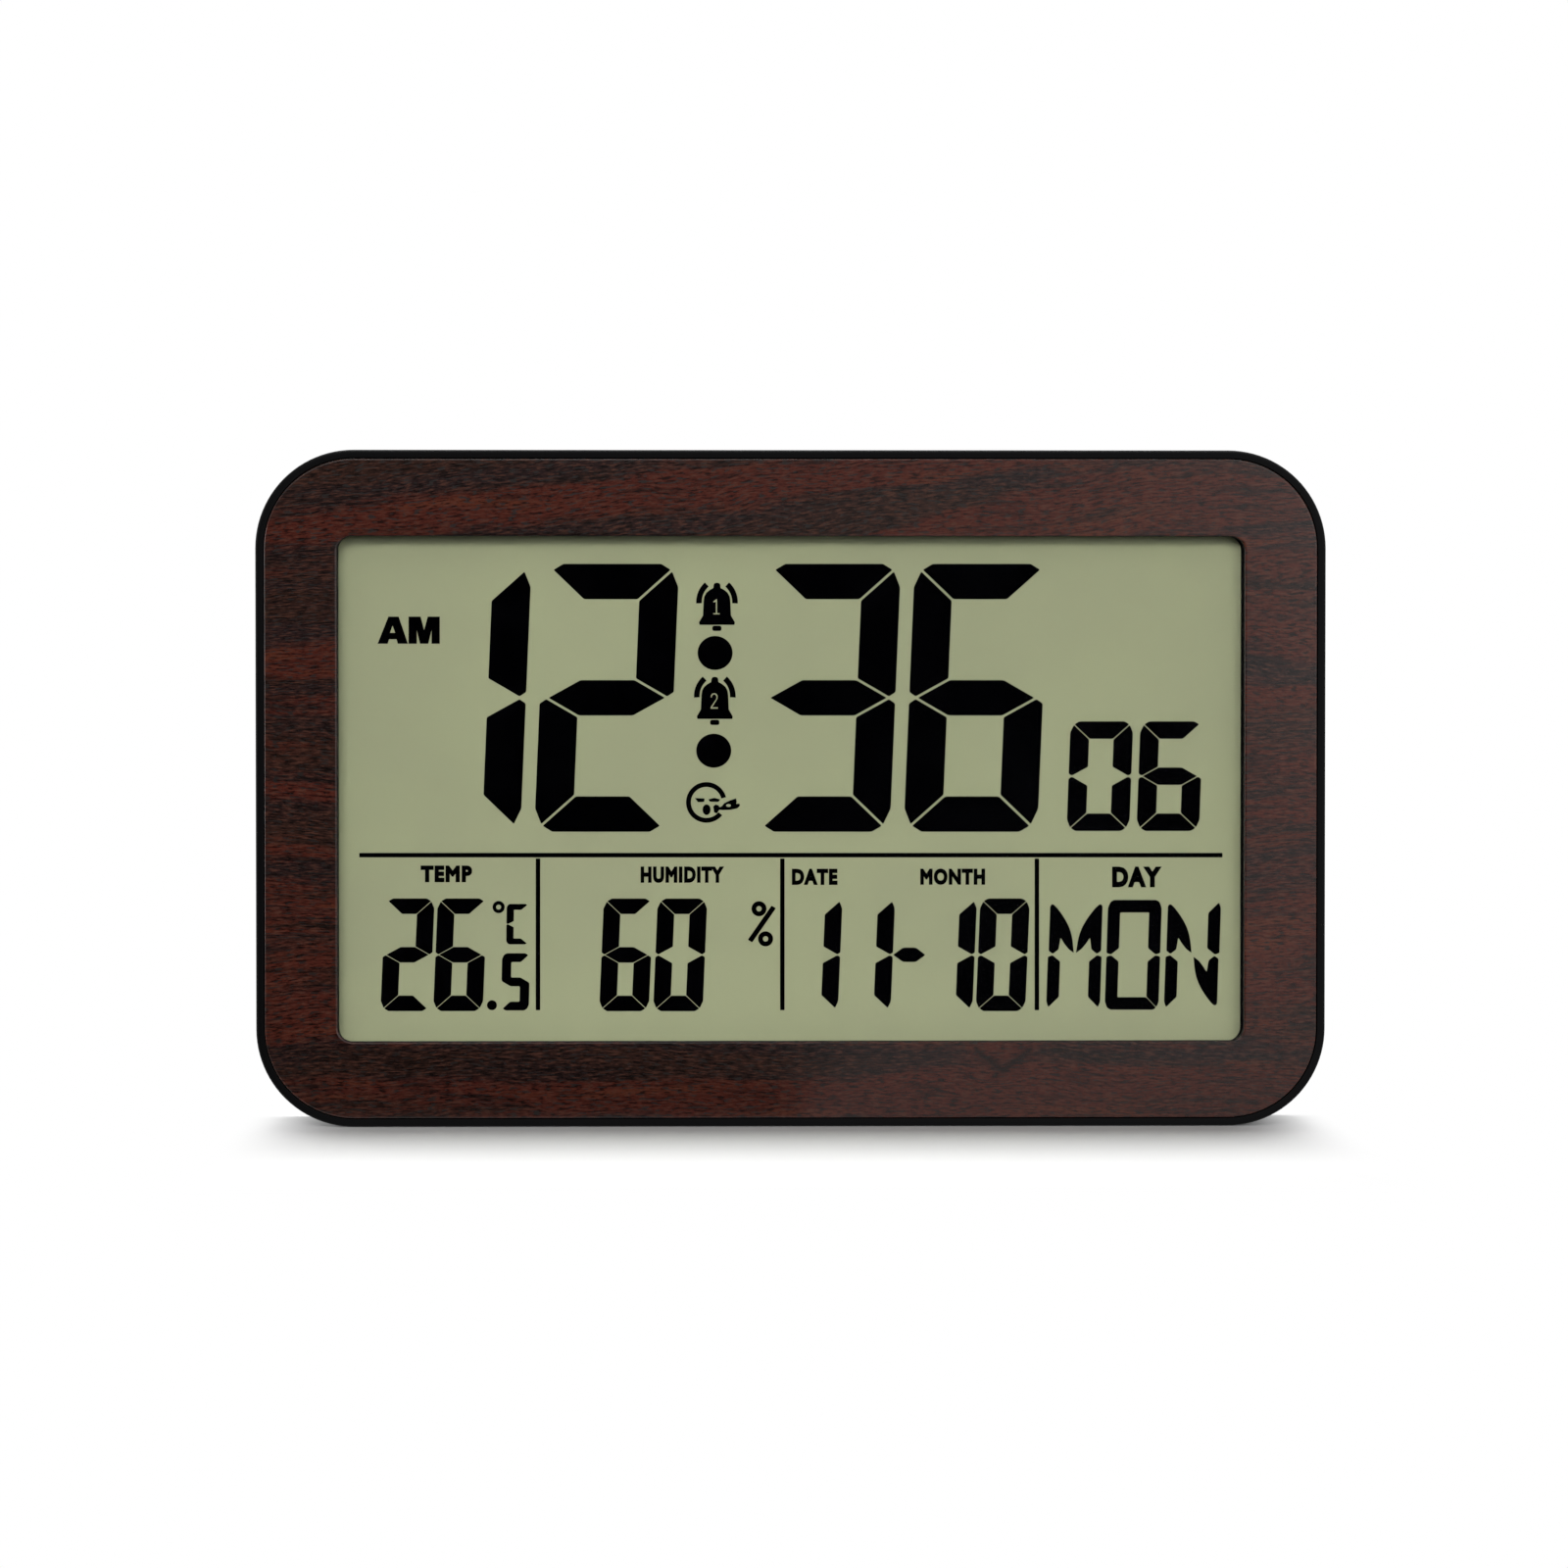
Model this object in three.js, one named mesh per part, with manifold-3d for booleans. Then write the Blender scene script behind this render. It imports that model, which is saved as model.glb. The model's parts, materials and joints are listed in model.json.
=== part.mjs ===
// A digital clock with a liquid crystal display. It stands on a shelf or hangs on a wall.
// It has a wood-effect front panel, a case in two parts, a fold-out stand, two AA cells behind
// a door and six setting buttons on its back.
// Sizes are millimetres. +X is to the right of someone who reads the clock, +Y goes from the
// front to the back and +Z is up. The origin is under the middle of the case, on the shelf.
// A depth is measured from the frontmost face towards the back.
import * as THREE from "three";
import { mergeVertices } from "three/addons/utils/BufferGeometryUtils.js";
import Module from "manifold-3d";

const wasm = await Module();
wasm.setup();

// Case
const caseWidth = 216;
const caseHeight = 136.6;
const caseDepth = 27;
const caseCornerRadius = 19.8;
const caseWall = 2;
const rimWidth = 1.55;
const rimRound = 1.25;
const rimSetback = 0.3;
const backEdgeRound = 2.5;
const coverDepth = 10.5;
const partingGroove = 0.2;
const tongueLength = 1.8;
const tongueThickness = 1.2;
const pocketWall = 1.4;

// Clearances that the pieces share
const filmGap = 0.05;
const fitGap = 0.1;
const tongueGap = 0.15;
const slideGap = 0.2;
const runningGap = 0.4;
const seatGap = 0.3;

// Front panel and window
const panelThickness = 1.8;
const panelEdgeRound = 0.35;
const sideBorder = 16.1;
const topBorder = 16.95;
const windowCornerRadius = 3;
const windowLipRound = 0.5;
const windowShadowLine = 0.5;
const lensThickness = 1;
const lensMargin = 2;
const lensLedge = 1.1;

// Display
const filmThickness = 0.2;
const filmMargin = 0.8;
const glassThickness = 1.1;
const glassMargin = 2;
const contactLedge = 3;
const contactStripLength = 120;
const contactStripHeight = 2;
const holderThickness = 1.2;
const holderRim = 1.2;
const holderBar = 6;
const holderColumns = 6;
const holderRows = 2;
const earInset = 25.4;
const earWidth = 9;
const earReach = 7.4;
const earHoleReach = 4.2;
const hookWidth = 5;
const hookThickness = 1.4;

// Boards
const boardThickness = 1.6;
const boardEarMargin = 8;
const boardHeight = 37;
const smallBoardThickness = 1.2;
const keyBoardWidth = 14;
const chipX = -14;
const chipRadius = 7;
const chipRise = 1.6;
const crystalX = 8;
const crystalRadius = 1.5;
const crystalLength = 8;
const capacitorX = 24;
const capacitorRadius = 2.5;
const capacitorLength = 6;

// Screws
const bossRadius = 3;
const bossOverlap = 0.3;
const smallBossRadius = 2.2;
const headRadius = 2.3;
const headHeight = 1.7;
const shankRadius = 1.2;
const smallHeadRadius = 1.8;
const smallHeadHeight = 1.2;
const smallShankRadius = 0.9;
const smallScrewLength = 4.8;
const screwClearance = 0.3;
const screwSinkDepth = 7;
const screwWeb = 2;
const caseScrewLength = 10;
const crossWidth = 0.6;
const crossShare = 0.62;
const crossDepth = 0.8;

// Cells, battery bay and contacts
const cellLength = 50;
const cellEdge = 0.6;
const cellNubRadius = 2.75;
const cellNubLength = 1.5;
const cellSpacing = 0.6;
const bayGap = 0.95;
const bayMargin = 1;
const bayWall = 1.2;
const bayRidgeHeight = 3.5;
const bayRidgeWidth = 3.2;
const contactRoom = 4.7;
const contactThickness = 0.5;
const contactApart = 4.8;
const contactShort = 2.2;
const contactDimpleRadius = 2;
const contactDimpleHeight = 1;
const contactTabWidth = 3;
const contactTabReach = 4.4;
const contactTabRise = 2.5;
const springWireRadius = 0.35;
const springTurns = 4;
const springShare = 0.35;
const springTaper = 1.1;
const springCurlSteps = 8;
const springSides = 5;

// Battery door
const doorSideOverlap = 2.3;
const doorOverlap = 2;
const doorThickness = 1.6;
const doorTopInset = 33.6;
const doorCornerRadius = 0.6;
const doorLedgeThickness = 1.65;
const doorTabX = 20;
const doorTabWidth = 6;
const doorTabReach = 1.3;
const doorTabShare = 0.324;
const doorLipWidth = 10;
const doorLipReach = 2.4;
const doorLatchDepth = 3;
const doorLatchThickness = 1.2;
const gripCount = 5;
const gripPitch = 1.8;
const gripLength = 20;
const gripWidth = 0.7;
const gripDepth = 0.4;
const scoopWidth = 17;
const scoopHeight = 8.5;
const scoopDepth = 5.4;

// Fold-out stand
const standWidth = 59.2;
const standThickness = 3;
const standPivotDrop = 10;
const standBarrelRadius = 3;
const standEndGap = 0.8;
const standCornerRadius = 6;
const standPinRadius = 1.6;
const standPinLength = 2.5;
const standPinClearance = 0.25;
const standHeelHeight = 5.5;
const standHeelThickness = 2.6;
const standOpenAngle = 25;
const standCoreDepth = 1.4;
const standCoreRows = 3;
const standCoreColumns = 3;
const standRib = 3;
const fingerPocketWidth = 18;
const fingerPocketHeight = 8;
const fingerPocketGap = 0.5;

// Setting buttons
const buttonNames = ["mode", "alarm", "up", "down", "unit", "snooze"];
const buttonInset = 24;
const buttonFirstHeight = 36;
const buttonPitch = 13;
const buttonLength = 10;
const buttonHeight = 6;
const buttonCornerRadius = 2.8;
const buttonSetback = 0.3;
const buttonEdgeRound = 0.5;
const buttonTravel = 0.8;
const buttonFlange = 1;
const buttonFlangeThickness = 0.85;
const buttonStemRadius = 1.8;
const buttonStemLength = 2.15;
const buttonBedDepth = 1.6;
const buttonBedMargin = 3;
const switchSize = 6.2;
const switchHeight = 3.5;
const plungerRadius = 1.7;
const plungerSunk = 1.7;
const plungerShown = 1.2;

// Wall hanging, vents, sensor and sounder
const keyholeInset = 17.1;
const keyholeEntryRadius = 4.3;
const keyholeSlotRadius = 2.4;
const keyholeRise = 8.5;
const keyholePocketDepth = 5;
const keyholePocketMargin = 0.6;
const ventInset = 24;
const ventHeight = 96;
const ventCount = 7;
const ventPitch = 3.4;
const ventLength = 16;
const ventWidth = 1.6;
const sensorBoardWidth = 26;
const sensorBoardHeight = 13;
const sensorBoardStandoff = 4.3;
const sensorPostReach = 10.4;
const sensorWidth = 12.5;
const sensorHeight = 10.5;
const sensorDepth = 2.6;
const sounderHeight = 45;
const sounderRingRadius = 10.4;
const sounderRingWall = 1.2;
const sounderRingDepth = 3.5;
const sounderRadius = 11.2;
const sounderThickness = 0.4;
const sounderHoleRadius = 0.9;
const sounderHoleCircle = 4.5;
const sounderHoleCount = 6;

// Wires
const leadRadius = 0.7;
const leadStraight = 1.2;
const leadSpread = 5;
const leadDip = 1;
const leadRun = 18;
const padInset = 5;
const padRow = 4;
const sensorLeadX = 6;
const sensorLeadZ = 4;
const sensorLeadLift = 5;
const sounderLeadX = 5;
const sounderLeadZ = 6;
const sounderLeadLift = 4;
const sounderPadDrop = 17;
const ribbonThickness = 0.4;
const ribbonWidth = 8;
const ribbonInset = 16;
const ribbonRise = 1;
const ribbonReach = 5;
const ribbonEndX = 3;

// Faceting
const cornerSteps = 8;
const smallCornerSteps = 4;
const buttonSteps = 3;
const roundSteps = 3;
const smallRoundSteps = 2;
const rodSides = 20;
const bossSides = 16;
const smallRodSides = 12;
const leadSides = 8;
const leadSteps = 16;
const mergeDistance = 1e-4;
const overcut = 1;

// Sizes across the front that follow from the ones above
const middle = caseHeight / 2;
const windowWidth = caseWidth - 2 * sideBorder;
const windowHeight = caseHeight - 2 * topBorder;
const glassWidth = windowWidth + 2 * glassMargin;
const glassHeight = windowHeight + 2 * glassMargin;
const glassTop = middle + glassHeight / 2;
const glassBottom = middle - glassHeight / 2;
const ledgeBottom = glassBottom - contactLedge;
const holderEdge = seatGap + holderRim;
const holderWidth = glassWidth + 2 * holderEdge;
const holderTop = glassTop + holderEdge;
const holderBottom = ledgeBottom - holderEdge;
const lowerEarHole = holderBottom - earHoleReach;
const upperEarHole = holderTop + earHoleReach;
const holderCellWidth = (glassWidth - holderBar) / holderColumns;
const holderCellHeight = (glassHeight - holderBar) / holderRows;
const hookX = holderCellWidth * 2;
const earX = holderWidth / 2 - earInset;
const boardWidth = 2 * (earX + boardEarMargin);
const boardBottom = ledgeBottom - holderEdge / 2;
const boardTop = boardBottom + boardHeight;
const screwReach = (caseCornerRadius - caseWall - bossRadius + bossOverlap) * Math.SQRT1_2;
const screwX = caseWidth / 2 - caseCornerRadius + screwReach;
const screwLow = caseCornerRadius - screwReach;
const screwHigh = caseHeight - screwLow;

// Depths that follow, from front to back
const flangeFront = panelThickness + fitGap;
const lensFront = flangeFront + filmGap;
const lensBack = lensFront + lensThickness;
const lensSeat = lensBack + filmGap;
const flangeBack = lensSeat + lensLedge;
const filmFront = flangeBack + fitGap;
const frontGlassFront = filmFront + filmThickness + filmGap;
const frontGlassBack = frontGlassFront + glassThickness;
const rearGlassFront = frontGlassBack + filmGap;
const rearGlassBack = rearGlassFront + glassThickness;
const reflectorFront = rearGlassBack + filmGap;
const reflectorBack = reflectorFront + filmThickness;
const holderFront = reflectorBack + fitGap;
const holderBack = holderFront + holderThickness;
const boardFront = holderBack + fitGap;
const boardBack = boardFront + boardThickness;
const holderScrewTip = lensSeat + filmGap * 10;
const partingDepth = caseDepth - coverDepth;
const coverFront = partingDepth + partingGroove / 2;
const frontCaseBack = partingDepth - partingGroove / 2;
const coverInside = caseDepth - caseWall;
const screwSeat = caseDepth - screwSinkDepth;

// Battery bay and door. The cells fill the depth that the display leaves: at this depth they
// are 14.2 mm thick, as AA cells are.
const doorInside = caseDepth - doorThickness;
const doorSeat = doorInside - tongueGap;
const bayFloor = holderBack + bayGap + bayWall;
const cellRadius = (doorInside - bayFloor) / 2 - runningGap;
const cellDepth = doorInside - runningGap - cellRadius;
const cellPitch = 2 * cellRadius + cellSpacing;
const bayHeight = cellPitch + 2 * (cellRadius + bayMargin);
const bayEnd = cellLength / 2 + contactRoom;
const doorWidth = 2 * (bayEnd + doorSideOverlap);
const doorHeight = bayHeight + 2 * doorOverlap;
const doorTop = caseHeight - doorTopInset;
const doorBottom = doorTop - doorHeight;
const doorTabDepth = cellRadius * doorTabShare;
const bayMiddle = doorBottom + doorHeight / 2;
const contactWidth = cellPitch - contactApart;
const contactRise = 2 * cellRadius - contactShort;
const springBaseRadius = contactWidth * springShare;
const springTipRadius = springBaseRadius - springTaper;
const contactFace = bayEnd - fitGap - contactThickness;
const cellTip = contactFace - contactDimpleHeight - fitGap;
const springLength = contactFace + cellTip - cellNubLength - cellLength - fitGap;
const contactTabDepth = bayFloor + contactTabRise;

// Stand
const standPivotHeight = doorBottom - standPivotDrop;
const standBed = caseDepth - standThickness - runningGap;
const fingerPocketDepth = coverDepth - pocketWall - fingerPocketGap;
const standPivotDepth = caseDepth - standBarrelRadius;
const standOpening = THREE.MathUtils.degToRad(standOpenAngle);
const standHeelSweep = standHeelHeight * Math.sin(standOpening);
const standHeelBed = Math.min(standPivotDepth - standHeelSweep - runningGap, standBed);
const standHeelSwing = Math.hypot(standBarrelRadius, standHeelHeight);
const standRecessTop = standPivotHeight + standHeelSwing + runningGap;
const standRecessEdge = standWidth / 2 + runningGap;
const standTrough = standPivotDepth - standBarrelRadius - runningGap;
const standTroughReach = standBarrelRadius + runningGap;

// Buttons and their board
const buttonX = buttonInset - caseWidth / 2;
const buttonHeights = buttonNames.map((_, i) => buttonFirstHeight + i * buttonPitch);
const buttonMiddle = buttonFirstHeight + ((buttonNames.length - 1) * buttonPitch) / 2;
const buttonSpread = buttonNames.length * buttonPitch;
const buttonBed = caseDepth - buttonBedDepth;
const buttonBedInside = buttonBed - pocketWall;
const buttonBedWidth = buttonLength + 2 * buttonBedMargin;
const buttonBedHeight = buttonSpread - buttonPitch + buttonHeight + 2 * buttonBedMargin;
const keyPostReach = buttonSpread / 2 - buttonPitch;
const keyPostHeights = [buttonMiddle - keyPostReach, buttonMiddle + keyPostReach];
const flangeOuter = buttonBedInside - fitGap;
const flangeInner = flangeOuter - buttonFlangeThickness;
const switchBack = flangeInner - buttonStemLength - fitGap - plungerShown;
const switchFront = switchBack - switchHeight;
const keyBoardBack = switchFront - filmGap;
const keyBoardDepth = keyBoardBack - smallBoardThickness;

// Back features
const keyholeEntry = caseHeight - keyholeInset;
const keyholeFloor = coverInside - keyholePocketDepth;
const keyholePocketRadius = keyholeEntryRadius + keyholePocketMargin;
const ventX = caseWidth / 2 - ventInset;
const sensorBoardBack = coverInside - sensorBoardStandoff;
const sensorBoardFront = sensorBoardBack - smallBoardThickness;
const sounderBack = coverInside - sounderRingDepth - filmGap;

/** A surface look: a colour, how rough it is and how much like metal. */
function look(color, roughness, metalness = 0) {
  return new THREE.MeshStandardMaterial({ color, roughness, metalness, flatShading: true });
}

const looks = {
  wood: look(0x3b231c, 0.45),
  case: look(0x0e0f0f, 0.5),
  cover: look(0x131414, 0.65),
  lens: look(0xe8ece6, 0.08),
  glass: look(0xaab39c, 0.1),
  display: look(0x949a78, 0.4),
  holder: look(0xd6d6d0, 0.5),
  rubber: look(0xa8a49c, 0.8),
  board: look(0x1f5a3a, 0.5),
  steel: look(0xb9bbbd, 0.3, 0.9),
  brass: look(0xb79a52, 0.35, 0.9),
  epoxy: look(0x08080a, 0.3),
  cell: look(0x2d5f8a, 0.35, 0.3),
  red: look(0xa31b16, 0.5),
  black: look(0x151515, 0.5),
  grey: look(0x8f9294, 0.5),
};
looks.lens.transparent = true;
looks.lens.opacity = 0.2;

/** The y coordinate of a depth. */
function yAt(depth) {
  return depth - caseDepth / 2;
}

/** A closed solid for joining and cutting, made from a geometry. */
function solidOf(geometry) {
  const bare = geometry.clone();
  bare.deleteAttribute("normal");
  bare.deleteAttribute("uv");
  const merged = mergeVertices(bare, mergeDistance);
  const source = merged.index.array;
  const kept = [];
  for (let i = 0; i < source.length; i += 3) {
    const [a, b, c] = [source[i], source[i + 1], source[i + 2]];
    if (a !== b && b !== c && c !== a) {
      kept.push(a, b, c);
    }
  }
  const vertProperties = merged.attributes.position.array;
  return new wasm.Manifold(new wasm.Mesh({ numProp: 3, vertProperties, triVerts: new Uint32Array(kept) }));
}

/** Several solids joined into one. */
function join(...solids) {
  return solids.flat().reduce((sum, solid) => sum.add(solid));
}

/** A solid with several others cut out of it. */
function cut(solid, ...tools) {
  return tools.flat().reduce((rest, tool) => rest.subtract(tool), solid);
}

/** Adds a named mesh of a solid to a group, moved by x, y and z. */
function place(group, name, solid, material, x = 0, y = 0, z = 0) {
  const { vertProperties, triVerts } = solid.getMesh();
  const geometry = new THREE.BufferGeometry();
  geometry.setAttribute("position", new THREE.BufferAttribute(new Float32Array(vertProperties), 3));
  geometry.setIndex(new THREE.BufferAttribute(new Uint32Array(triVerts), 1));
  const mesh = new THREE.Mesh(geometry, material);
  mesh.name = name;
  mesh.position.set(x, y, z);
  group.add(mesh);
  return mesh;
}

/** Points round a rectangle with round corners, in the x-z plane. */
function roundedOutline(width, height, radius, x = 0, z = 0, steps = smallCornerSteps) {
  const sides = [
    [1, 1],
    [-1, 1],
    [-1, -1],
    [1, -1],
  ];
  return sides.flatMap(([sideX, sideZ], quarter) =>
    Array.from({ length: steps + 1 }, (_, i) => {
      const angle = ((quarter + i / steps) * Math.PI) / 2;
      const centreX = x + sideX * (width / 2 - radius);
      const centreZ = z + sideZ * (height / 2 - radius);
      return new THREE.Vector2(centreX + radius * Math.cos(angle), centreZ + radius * Math.sin(angle));
    }),
  );
}

/** The case's outline, drawn in by an inset. */
function caseOutline(inset) {
  const width = caseWidth - 2 * inset;
  const height = caseHeight - 2 * inset;
  return roundedOutline(width, height, caseCornerRadius - inset, 0, middle, cornerSteps);
}

/** The window's outline, opened up by a growth. */
function windowOutline(growth) {
  const width = windowWidth + 2 * growth;
  const height = windowHeight + 2 * growth;
  return roundedOutline(width, height, windowCornerRadius + growth, 0, middle);
}

/** A closed solid through outlines with equal numbers of points, from front to back. */
function loft(sections) {
  const count = sections[0].outline.length;
  const positions = sections.flatMap(({ outline, depth }) =>
    outline.flatMap((point) => [point.x, yAt(depth), point.y]),
  );
  const indices = [];
  for (let ring = 0; ring + 1 < sections.length; ring += 1) {
    for (let i = 0; i < count; i += 1) {
      const a = ring * count + i;
      const b = ring * count + ((i + 1) % count);
      indices.push(a, a + count, b, b, a + count, b + count);
    }
  }
  const last = (sections.length - 1) * count;
  THREE.ShapeUtils.triangulateShape(sections[0].outline, []).forEach(([a, b, c]) => {
    indices.push(a, b, c, last + a, last + c, last + b);
  });
  const geometry = new THREE.BufferGeometry();
  geometry.setAttribute("position", new THREE.Float32BufferAttribute(positions, 3));
  geometry.setIndex(indices);
  return solidOf(geometry);
}

/** Sections of an edge rounded from its front face: the outline grows as it goes back. */
function frontRound(outlineAt, radius, depth, steps = roundSteps) {
  return Array.from({ length: steps + 1 }, (_, i) => {
    const angle = ((i / steps) * Math.PI) / 2;
    const outline = outlineAt(radius * (1 - Math.sin(angle)));
    return { outline, depth: depth + radius * (1 - Math.cos(angle)) };
  });
}

/** Sections of an edge rounded towards its back face, which is at the depth. */
function backRound(outlineAt, radius, depth, steps = roundSteps) {
  return Array.from({ length: steps + 1 }, (_, i) => {
    const angle = ((i / steps) * Math.PI) / 2;
    const outline = outlineAt(radius * (1 - Math.cos(angle)));
    return { outline, depth: depth - radius * (1 - Math.sin(angle)) };
  });
}

/** A flat piece: an outline in the x-z plane, with holes, from one depth to another. */
function plate(outline, front, back, holes = []) {
  const shape = new THREE.Shape(outline);
  shape.holes = holes.map((hole) => new THREE.Path(hole));
  const geometry = new THREE.ExtrudeGeometry(shape, { depth: back - front, bevelEnabled: false });
  geometry.rotateX(Math.PI / 2);
  geometry.translate(0, yAt(back), 0);
  return solidOf(geometry);
}

/** A box between two x, two depths and two z. */
function block(x0, x1, front, back, z0, z1) {
  const geometry = new THREE.BoxGeometry(x1 - x0, back - front, z1 - z0);
  geometry.translate((x0 + x1) / 2, yAt((front + back) / 2), (z0 + z1) / 2);
  return solidOf(geometry);
}

/** A box that reaches equally to both sides of the middle plane. */
function slab(reach, front, back, z0, z1) {
  return block(-reach, reach, front, back, z0, z1);
}

/** A round rod that runs from front to back. */
function rod(radius, x, z, front, back, sides = bossSides) {
  const geometry = new THREE.CylinderGeometry(radius, radius, back - front, sides);
  geometry.translate(x, yAt((front + back) / 2), z);
  return solidOf(geometry);
}

/** A round rod that runs from left to right. */
function axle(radius, depth, z, x0, x1) {
  const geometry = new THREE.CylinderGeometry(radius, radius, x1 - x0, rodSides);
  geometry.rotateZ(Math.PI / 2);
  geometry.translate((x0 + x1) / 2, yAt(depth), z);
  return solidOf(geometry);
}

/** A prism that runs from left to right, with a profile of depths and heights. */
function prism(profile, x0, x1) {
  const shape = new THREE.Shape(profile.map(([depth, z]) => new THREE.Vector2(yAt(depth), z)));
  const geometry = new THREE.ExtrudeGeometry(shape, { depth: x1 - x0, bevelEnabled: false });
  const along = new THREE.Vector3(1, 0, 0);
  const back = new THREE.Vector3(0, 1, 0);
  const up = new THREE.Vector3(0, 0, 1);
  geometry.applyMatrix4(new THREE.Matrix4().makeBasis(back, up, along));
  geometry.translate(x0, 0, 0);
  return solidOf(geometry);
}

/** A turned body about its own y axis, from a profile of radii and heights, lowest first. */
function turned(profile, sides = rodSides) {
  return solidOf(new THREE.LatheGeometry(profile.map(([radius, y]) => new THREE.Vector2(radius, y)), sides));
}

/** A tube of a section along points of x, depth and z. */
function tube(section, points) {
  const places = points.map(([x, depth, z]) => new THREE.Vector3(x, yAt(depth), z));
  const extrudePath = new THREE.CatmullRomCurve3(places);
  const options = { steps: leadSteps, extrudePath, bevelEnabled: false };
  return solidOf(new THREE.ExtrudeGeometry(new THREE.Shape(section), options));
}

/** The round section of a lead. */
function leadSection() {
  return Array.from({ length: leadSides }, (_, i) => {
    const angle = (i / leadSides) * 2 * Math.PI;
    return new THREE.Vector2(leadRadius * Math.cos(angle), leadRadius * Math.sin(angle));
  });
}

/** Four places that mirror each other from left to right, at a lower and an upper height. */
function fourSpots(x, low, high) {
  return [
    [x, low],
    [-x, low],
    [x, high],
    [-x, high],
  ];
}

/** A pan-head screw that points to the front, with the underside of its head at y = 0. */
function screw(head, height, shank, length) {
  const profile = [
    [0, -length],
    [shank, -length + shank],
    [shank, 0],
    [head, 0],
    [head, height * 0.45],
    [head * 0.72, height],
    [0, height],
  ];
  return turned(profile, smallRodSides);
}

/** A case screw, whose head shows its cross recess at the bottom of a deep hole. */
function caseScrew() {
  const body = screw(headRadius, headHeight, shankRadius, caseScrewLength);
  const reach = headRadius * crossShare;
  const bars = [
    new THREE.BoxGeometry(2 * reach, 2 * crossDepth, crossWidth),
    new THREE.BoxGeometry(crossWidth, 2 * crossDepth, 2 * reach),
  ];
  return cut(body, bars.map((bar) => solidOf(bar.translate(0, headHeight, 0))));
}

/** The printed panel round the window, with softened edges. */
function frontPanel() {
  const edge = rimWidth + fitGap;
  const body = loft([
    ...frontRound((inset) => caseOutline(edge + inset), panelEdgeRound, 0, smallRoundSteps),
    { outline: caseOutline(edge), depth: panelThickness },
  ]);
  const opening = loft([
    { outline: windowOutline(windowLipRound), depth: -overcut },
    ...frontRound(windowOutline, windowLipRound, 0, smallRoundSteps),
    { outline: windowOutline(0), depth: panelThickness + overcut },
  ]);
  return cut(body, opening);
}

/** The front half of the case: rim, side wall, window flange and the bosses behind it. */
function frontCase() {
  const outside = loft([
    ...frontRound(caseOutline, rimRound, rimSetback),
    { outline: caseOutline(0), depth: frontCaseBack },
  ]);
  const shell = cut(
    outside,
    plate(caseOutline(rimWidth), -overcut, flangeFront),
    plate(caseOutline(caseWall), flangeBack, frontCaseBack + overcut),
    plate(windowOutline(lensMargin + fitGap), flangeFront - overcut, lensSeat),
    plate(windowOutline(-windowShadowLine), flangeFront, flangeBack + overcut),
  );
  const cornerBossBack = screwSeat - screwWeb - fitGap;
  const corners = fourSpots(screwX, screwLow, screwHigh);
  const ears = fourSpots(earX, lowerEarHole, upperEarHole);
  const seat = flangeBack - overcut;
  const posts = [
    ...corners.map(([x, z]) => rod(bossRadius, x, z, seat, cornerBossBack)),
    ...ears.map(([x, z]) => rod(bossRadius, x, z, seat, holderFront - fitGap)),
  ];
  const pilot = shankRadius + screwClearance;
  const cornerPilotEnd = screwSeat - caseScrewLength - screwClearance;
  const holes = [
    ...corners.map(([x, z]) => rod(pilot, x, z, cornerPilotEnd, cornerBossBack + overcut, smallRodSides)),
    ...ears.map(([x, z]) => rod(pilot, x, z, holderScrewTip - screwClearance, holderFront, smallRodSides)),
  ];
  return cut(join(shell, posts), holes);
}

/** The clear window behind the front panel. */
function windowLens() {
  return plate(windowOutline(lensMargin), lensFront, lensBack);
}

/** A sheet of the display that reaches a margin beyond the window. */
function displaySheet(margin, front, thickness, bottomExtra = 0) {
  const reach = windowWidth / 2 + margin;
  const low = middle - windowHeight / 2 - margin - bottomExtra;
  const high = middle + windowHeight / 2 + margin;
  return slab(reach, front, front + thickness, low, high);
}

/** The openings that lighten the holder's plate, in rows and columns. */
function holderOpenings() {
  const width = holderCellWidth - holderBar;
  const height = holderCellHeight - holderBar;
  const corner = holderBar / 4;
  const openings = [];
  for (let column = 0; column < holderColumns; column += 1) {
    for (let row = 0; row < holderRows; row += 1) {
      const x = (column - (holderColumns - 1) / 2) * holderCellWidth;
      const z = middle + (row - (holderRows - 1) / 2) * holderCellHeight;
      openings.push(roundedOutline(width, height, corner, x, z, 1));
    }
  }
  return openings;
}

/** A hook on the holder that keeps the top edge of the main board down. */
function boardHook(x) {
  const low = boardTop + slideGap;
  const high = low + hookThickness;
  const barb = boardBack + fitGap;
  const end = barb + hookThickness;
  const profile = [
    [holderBack - filmGap, low],
    [barb, low],
    [barb, low - hookThickness],
    [end, low],
    [end, high],
    [holderBack - filmGap, high],
  ];
  return prism(profile, x - hookWidth / 2, x + hookWidth / 2);
}

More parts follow.
